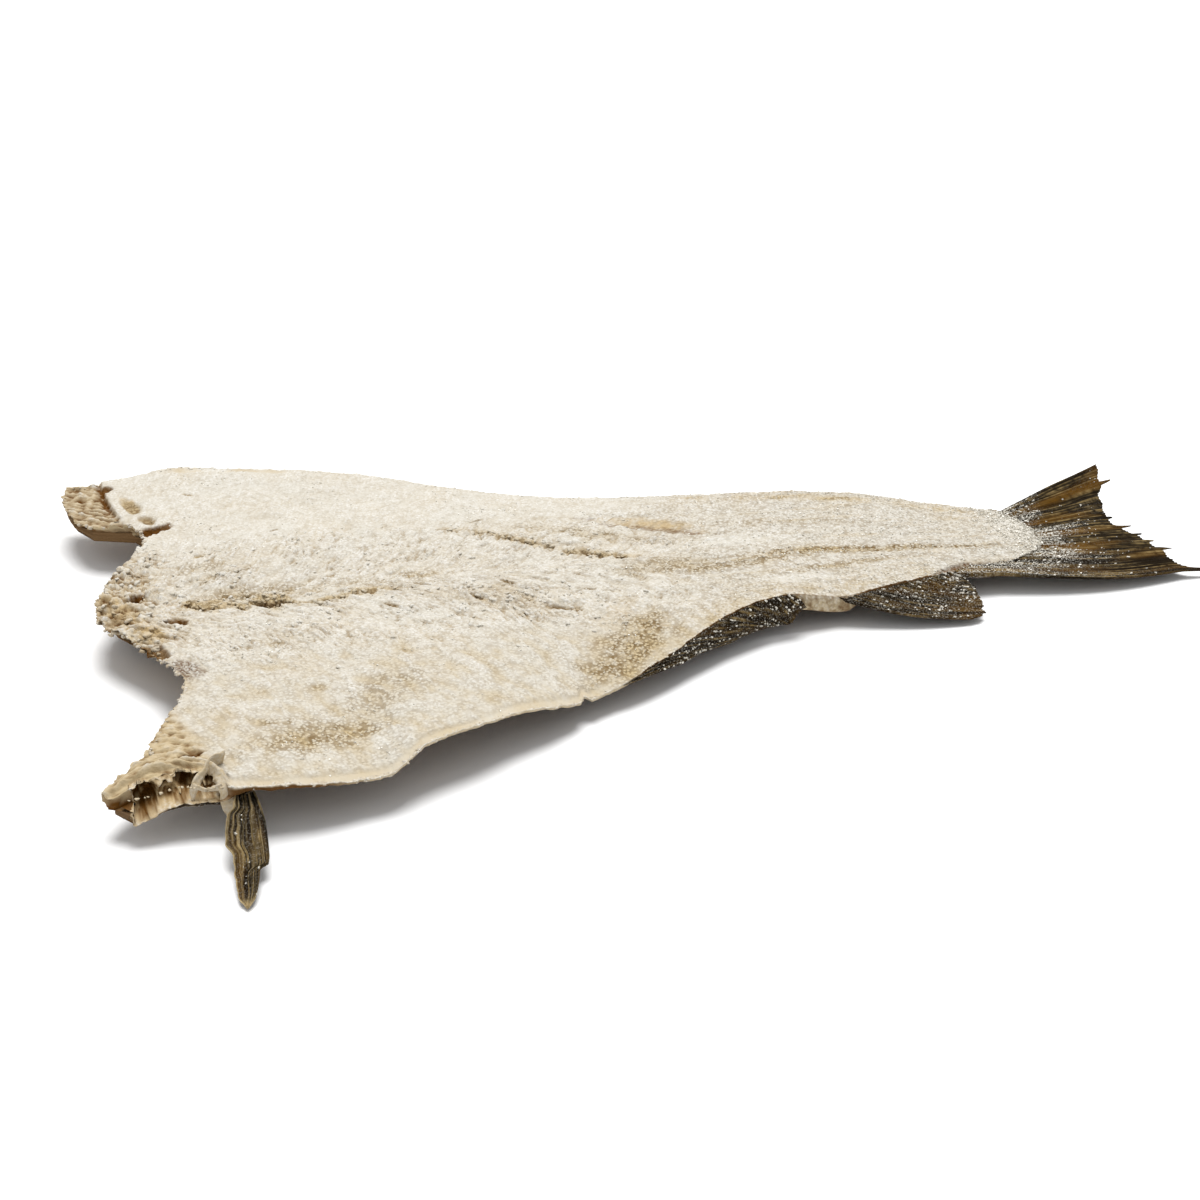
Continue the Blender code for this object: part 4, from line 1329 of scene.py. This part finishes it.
# ---- Crumbs and salt ----------------------------------------------------------------------------
def copies(template, count):
    """Bmesh that holds many copies of a small template, with a layer that numbers them."""
    number = template.verts.layers.int.new("number")
    made = 1
    while made < count:
        take = min(made, count - made)
        wanted = [corner for corner in template.verts if corner[number] < take]
        faces = {face for corner in wanted for face in corner.link_faces}
        edges = {edge for corner in wanted for edge in corner.link_edges}
        result = bmesh.ops.duplicate(template, geom=[*wanted, *edges, *faces])
        for item in result["geom"]:
            if isinstance(item, bmesh.types.BMVert):
                item[number] += made
        made += take
    return template, number


def scattered(template, places, uneven, tinted=False):
    """Copies of a template, each with its own matrix, uneven shape and tints."""
    mesh, number = copies(template, len(places))
    tint = mesh.verts.layers.float_color.new("tint")
    for corner in mesh.verts:
        matrix, tints = places[corner[number]]
        seed = 0.731 * corner[number]
        shift = noise.noise_vector(corner.co * 1.7 + Vector((seed, seed, 0.0))) * uneven
        corner.co = matrix @ (corner.co + shift)
        if tinted:
            corner[tint] = tints
    bmesh.ops.recalc_face_normals(mesh, faces=mesh.faces)
    return mesh


def lump_template():
    mesh = bmesh.new()
    bmesh.ops.create_cube(mesh, size=1.0)
    bmesh.ops.subdivide_edges(mesh, edges=mesh.edges, cuts=1, use_grid_fill=True)
    for corner in mesh.verts:
        corner.co = corner.co.lerp(corner.co.normalized() * 0.5, 0.75)
    return mesh


def crystal_template():
    mesh = bmesh.new()
    bmesh.ops.create_cube(mesh, size=1.0)
    return mesh


def turned(place, size, flat, picker):
    """Matrix of a lump at a place, turned at random about all axes."""
    turn = Euler([picker.uniform(-0.5, 0.5), picker.uniform(-0.5, 0.5),
                  picker.uniform(0.0, math.tau)]).to_matrix().to_4x4()
    scale = Matrix.Diagonal((size * picker.uniform(0.75, 1.45), size * picker.uniform(0.7, 1.1),
                             size * flat, 1.0))
    return Matrix.Translation(place) @ turn @ scale


def flesh_place(picker, stations=(NAPE_X + NAPE_FACE, FLESH_END - 4 * MM), reach=(-1.0, 1.0)):
    """Random place on the flesh side: x, y, height and tints."""
    station = picker.uniform(*stations)
    across = picker.uniform(*reach)
    x, y, inset = plan(station, across)
    near, far = outline(station)
    if picker.random() > (far - near) / 0.40:
        return None
    change, tints, grainy = relief(x, y, across, inset)
    return x, y, upper_height(x, y, across) + change, inset, tints


def flesh_crumbs(count, largest):
    """Small torn lumps of flesh that stand half out of the loins and the neck."""
    picker = random.Random(5)
    places = []
    while len(places) < count:
        found = flesh_place(picker)
        if found is None:
            continue
        x, y, z, inset, tints = found
        loin = (1.0 - ease((abs(y) - 0.06) / 0.05)) * (1.0 - ease((x - 0.0) / 0.06))
        neck = ease((-0.258 - x) / 0.026) * (1.0 - ease((abs(y - 0.014) - 0.056) / 0.026))
        edge = 1.0 - ease(inset / (3.0 * MM))
        patch = clamp01(0.1 + 1.6 * rough(x, y, 18 * MM, 2, 81.0))
        torn = max(share * spot.share(x, y) for spot, share in CRUMBLED_PATCHES)
        lip = max(tear.effect(x, y)[1] for tear in TEARS)
        likely = 0.08 * loin * patch + 0.05 * neck + 0.3 * torn + 0.45 * edge + 0.5 * lip
        if picker.random() > likely:
            continue
        size = picker.uniform(0.4, 1.0) * largest * (1.0 + 0.4 * neck) * (1.0 - 0.45 * edge)
        bare, salt, brown, amber = tints
        tints = (clamp01(bare * 0.7), clamp01(salt + 0.15), brown * 0.3, amber * 0.6)
        places.append((turned(Vector((x, y, z - 0.20 * size)), size, 0.50, picker), tints))
    # Fringes of pale crumbs on the cut of the nape and on the lip of the near flap.
    while len(places) < 1.20 * count:
        on_lip = picker.random() < 0.5
        stations = (-0.245, -0.060) if on_lip else (NAPE_X + 4 * MM, NAPE_X + NAPE_FACE + 1 * MM)
        found = flesh_place(picker, stations, (-0.998, -0.985) if on_lip else (-0.85, 0.75))
        if found is None or rough(found[0], found[1], 9 * MM, 2, 83.0) < -0.1:
            continue
        x, y, z, inset, tints = found
        size = 0.75 * picker.uniform(0.3, 1.0) ** 1.5 * largest
        tints = (0.3, 0.9, 0.25 * picker.random(), 0.3)
        places.append((turned(Vector((x, y, z - 0.25 * size)), size, 0.6, picker), tints))
    return scattered(lump_template(), places, 0.28, True)


def fine_salt(count, largest):
    """Small salt crystals lying all over the flesh side, closest towards the tail."""
    picker = random.Random(7)
    places = []
    while len(places) < count:
        found = flesh_place(picker)
        if found is None:
            continue
        x, y, z, inset, tints = found
        tail = ease((x - 0.02) / 0.10)
        end = ease((x - 0.21) / 0.02)
        likely = 0.10 * clamp01(1.6 * rough(x, y, 26 * MM, 2, 82.0) - 0.1) + 0.10 * tail + 0.9 * end
        likely *= 1.0 - tints[2] - 0.5 * tints[3]
        likely *= ease((x + 0.27) / 0.03)
        if picker.random() > likely:
            continue
        size = picker.uniform(0.4, 1.0) * largest * (1.0 + 0.25 * end)
        places.append((turned(Vector((x, y, z)), size, 0.9, picker), None))
    return scattered(crystal_template(), places, 0.16)


def clustered(along, out):
    """How likely salt lies at a place of an anal fin: in loose clusters."""
    return clamp01(0.35 + 1.2 * noise.noise(Vector((7.0 * along, 3.0 * out, 26.0))))


def coarse_salt(counted_fins, largest):
    """Larger crystals caught in rows between the rays of the fins."""
    picker = random.Random(11)
    places = []
    for fin, count, density in counted_fins:
        left = count
        while left:
            along, out = picker.random(), picker.random()
            if picker.random() > density(along, out):
                continue
            if picker.random() < 0.5:
                along = clamp01((math.floor(along * fin.rays) + 0.5) / fin.rays)
            place, _ = fin.corner(along, out, True)
            ahead = fin.corner(along, out + 0.02, True)[0] - place
            size = picker.uniform(0.45, 1.0) ** 2.4 * largest
            turn = (ahead.to_track_quat("X", "Z").to_matrix().to_4x4()
                    @ Euler((picker.uniform(-0.6, 0.6), picker.uniform(-0.3, 0.3),
                             picker.uniform(-0.7, 0.7))).to_matrix().to_4x4())
            scale = Matrix.Diagonal((size * picker.uniform(0.8, 1.9), size * picker.uniform(0.6, 0.9),
                                     0.8 * size, 1.0))
            places.append((Matrix.Translation(place + fin.side * 0.25 * size) @ turn @ scale, None))
            left -= 1
    return scattered(crystal_template(), places, 0.16)


# ---- Objects ------------------------------------------------------------------------------------
def to_frame():
    """Move from the fish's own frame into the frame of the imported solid."""
    low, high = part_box(NODE)
    return Matrix.Translation((low.x - NAPE_X, high.y - FAR_REACH, low.z))


def add_piece(name, mesh, material, smooth=True):
    """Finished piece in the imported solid's frame, riding on its body and standing for its node."""
    bmesh.ops.transform(mesh, matrix=to_frame(), verts=mesh.verts)
    for face in mesh.faces:
        face.smooth = smooth
    data = bpy.data.meshes.new(name)
    mesh.to_mesh(data)
    mesh.free()
    data.materials.append(material)
    piece = bpy.data.objects.new(name, data)
    bpy.context.scene.collection.objects.link(piece)
    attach(piece, BODY)
    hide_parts(NODE)
    return piece


def shade(name, about, code):
    """Colour setting of the panel."""
    return FloatVectorProperty(name=name, description=about, subtype="COLOR", size=4, min=0.0,
                               max=1.0, default=colour(code))


class CodColours(bpy.types.PropertyGroup):
    """Colours of the fish and the stage."""

    flesh: shade("Flesh", "Cream ground of the dried flesh", "#C5C0B4")
    warm_flesh: shade("Warm flesh", "Warmer blotches of the flesh", "#C3BBAB")
    bare_flesh: shade("Bare flesh", "Flesh with no salt on it", "#BAA885")
    pitted_flesh: shade("Pitted flesh", "Grain in the bare flesh", "#7C6747")
    amber_flesh: shade("Amber flesh", "Smooth clear flesh", "#B99F72")
    # Brown for browned flesh, also used as painted shade in hollows, creases, splits and under the rim.
    brown_and_shaded_flesh: shade("Brown and shaded flesh", "Flesh deep in the hollows", "#5C3A12")
    salted_flesh: shade("Salted flesh", "Chalky salt dried on the flesh", "#D6D3CC")
    salt: shade("Salt", "Loose crystals of curing salt", "#DEDACF")
    damp_salt: shade("Damp salt", "Clearer, greyer crystals of curing salt", "#B3AD9F")
    skin: shade("Skin", "Dark mottling of the skin", "#4A3F33")
    pale_skin: shade("Pale skin", "Pale ground of the skin", "#8F8068")
    fin: shade("Fin", "Fin membrane", "#1A130A")
    fin_ray: shade("Fin ray", "Fin rays", "#84704A")
    fin_amber: shade("Amber fin", "Clear parts of the fins", "#553A10")
    pale_membrane: shade("Pale membrane", "Torn edges of the pectoral fin", "#B39E74")
    floor: shade("Floor", "Studio floor", "#F4F4F4")


class CodSizes(bpy.types.PropertyGroup):
    """Counts and sizes of the scattered grains."""

    crumbs: IntProperty(name="Crumbs", description="Number of torn lumps of flesh", default=1700,
                        min=1, max=4000)
    crumb_size: FloatProperty(name="Crumb size", description="Largest torn lump of flesh",
                              default=3.6 * MM, min=1.5 * MM, max=6.0 * MM, subtype="DISTANCE")
    fine_salt: IntProperty(name="Fine salt", description="Number of small salt crystals",
                           default=3000, min=1, max=16000)
    fine_salt_size: FloatProperty(name="Fine salt size", description="Largest small crystal",
                                  default=0.85 * MM, min=0.4 * MM, max=1.5 * MM,
                                  subtype="DISTANCE")
    coarse_salt_size: FloatProperty(name="Coarse salt size", description="Largest fin crystal",
                                    default=1.05 * MM, min=0.6 * MM, max=2.5 * MM,
                                    subtype="DISTANCE")


class OBJECT_OT_cod_stage(bpy.types.Operator):
    """Lay the floor, light it softly and set the camera"""

    bl_idname = "object.cod_stage"
    bl_label = "Studio Stage"

    def execute(self, context):
        make_floor(context.scene.cod_colours)
        make_lights()
        make_camera()
        return {"FINISHED"}


class OBJECT_OT_cod_body(bpy.types.Operator):
    """Build the two halves of the body with their torn flesh side, and the skin under them"""

    bl_idname = "object.cod_body"
    bl_label = "Body"

    def execute(self, context):
        colours = context.scene.cod_colours
        flesh = dried_cod_flesh(colours)
        for half, side in (("near", -1.0), ("far", 1.0)):
            front = make_body_piece(side, NAPE_X, PARTING_X)
            add_piece("front_flesh_" + half, front, flesh)
            rear = make_body_piece(side, PARTING_X, FLESH_END)
            add_piece("rear_flesh_" + half, rear, flesh)
        add_piece("torn_membrane", torn_membrane(), flesh)
        sizes = context.scene.cod_sizes
        add_piece("flesh_crumbs", flesh_crumbs(sizes.crumbs, sizes.crumb_size), flesh)
        add_piece("skin", make_skin(), dried_cod_skin(colours))
        return {"FINISHED"}


class OBJECT_OT_cod_fins(bpy.types.Operator):
    """Build the tail fin, the two anal fins and the pectoral fin"""

    bl_idname = "object.cod_fins"
    bl_label = "Fins"

    def execute(self, context):
        material = dried_fin_membrane(context.scene.cod_colours)
        for name, fin in fins():
            add_piece(name, fin.mesh(), material)
        return {"FINISHED"}


class OBJECT_OT_cod_salt(bpy.types.Operator):
    """Scatter the curing salt over the flesh and the fins"""

    bl_idname = "object.cod_salt"
    bl_label = "Curing Salt"

    def execute(self, context):
        material = curing_salt(context.scene.cod_colours)
        sizes = context.scene.cod_sizes
        add_piece("fine_salt", fine_salt(sizes.fine_salt, sizes.fine_salt_size), material,
                  smooth=False)
        by_name = dict(fins())
        counted = (
            (by_name["tail_fin"], 1400, tail_salt),
            (by_name["first_anal_fin"], 210, clustered),
            (by_name["second_anal_fin"], 300, clustered),
            (by_name["pectoral_fin"], 10, lambda along, out: 0.7),
        )
        add_piece("coarse_salt", coarse_salt(counted, sizes.coarse_salt_size), material,
                  smooth=False)
        return {"FINISHED"}


def fins():
    return (("tail_fin", tail_fin()), ("first_anal_fin", first_anal_fin()),
            ("second_anal_fin", second_anal_fin()), ("pectoral_fin", pectoral_fin()))


# ---- Stage --------------------------------------------------------------------------------------
FLOOR_SIZE = 9.0
CAMERA_DISTANCE = 1.200
CAMERA_AZIMUTH = math.radians(-16.0)
CAMERA_ELEVATION = math.radians(25.0)
CAMERA_AIM = Vector((-0.0268, 0.0077, 0.0))
CAMERA_LENS = 62.2
SUN_FROM = Vector((0.10, 0.24, 1.0))
SUN_SPREAD = math.radians(36.0)
SUN_POWER = 3.3
SKY_POWER = 0.55


def make_floor(colours):
    mesh = bmesh.new()
    bmesh.ops.create_grid(mesh, x_segments=1, y_segments=1, size=FLOOR_SIZE / 2)
    data = bpy.data.meshes.new("floor")
    mesh.to_mesh(data)
    mesh.free()
    material, tree, shader = new_material("matt_white_backdrop")
    shader.inputs["Base Color"].default_value = colours.floor[:]
    shader.inputs["Roughness"].default_value = 0.9
    data.materials.append(material)
    floor = bpy.data.objects.new("floor", data)
    bpy.context.scene.collection.objects.link(floor)


def make_lights():
    """Large soft light nearly overhead, a little from behind, and an even white room."""
    data = bpy.data.lights.new("overhead_light", "SUN")
    data.energy = SUN_POWER
    data.angle = SUN_SPREAD
    light = bpy.data.objects.new("overhead_light", data)
    light.location = SUN_FROM
    light.rotation_euler = (-SUN_FROM).to_track_quat("-Z", "Y").to_euler()
    bpy.context.scene.collection.objects.link(light)
    world = bpy.data.worlds.new("studio")
    world.use_nodes = True
    background = world.node_tree.nodes["Background"]
    background.inputs["Color"].default_value = (1.0, 1.0, 1.0, 1.0)
    background.inputs["Strength"].default_value = SKY_POWER
    bpy.context.scene.world = world
    bpy.context.scene.view_settings.view_transform = "Standard"


def make_camera():
    data = bpy.data.cameras.new("camera")
    data.lens = CAMERA_LENS
    data.sensor_width = 36.0
    camera = bpy.data.objects.new("camera", data)
    back = Vector((math.sin(CAMERA_AZIMUTH) * math.cos(CAMERA_ELEVATION),
                   -math.cos(CAMERA_AZIMUTH) * math.cos(CAMERA_ELEVATION),
                   math.sin(CAMERA_ELEVATION)))
    aim = to_frame() @ CAMERA_AIM
    camera.location = aim + back * CAMERA_DISTANCE
    camera.rotation_euler = (-back).to_track_quat("-Z", "Y").to_euler()
    bpy.context.scene.collection.objects.link(camera)
    bpy.context.scene.camera = camera


class VIEW3D_PT_cod(bpy.types.Panel):
    """Sidebar panel that lists the steps, the counts and the colours"""

    bl_idname = "VIEW3D_PT_cod"
    bl_label = "Salted Dried Cod"
    bl_space_type = "VIEW_3D"
    bl_region_type = "UI"
    bl_category = "Cod"

    def draw(self, context):
        for step in STEPS:
            self.layout.operator(step.bl_idname)
        for group in (context.scene.cod_sizes, context.scene.cod_colours):
            for name in type(group).__annotations__:
                self.layout.prop(group, name)


STEPS = (OBJECT_OT_cod_stage, OBJECT_OT_cod_body, OBJECT_OT_cod_fins, OBJECT_OT_cod_salt)
CLASSES = (CodColours, CodSizes, *STEPS, VIEW3D_PT_cod)


def register():
    for item in CLASSES:
        bpy.utils.register_class(item)
    bpy.types.Scene.cod_colours = PointerProperty(type=CodColours)
    bpy.types.Scene.cod_sizes = PointerProperty(type=CodSizes)


def unregister():
    del bpy.types.Scene.cod_sizes
    del bpy.types.Scene.cod_colours
    for item in reversed(CLASSES):
        bpy.utils.unregister_class(item)


def main():
    register()
    bpy.ops.object.cod_stage()
    bpy.ops.object.cod_body()
    bpy.ops.object.cod_fins()
    bpy.ops.object.cod_salt()


if __name__ == "__main__":
    main()
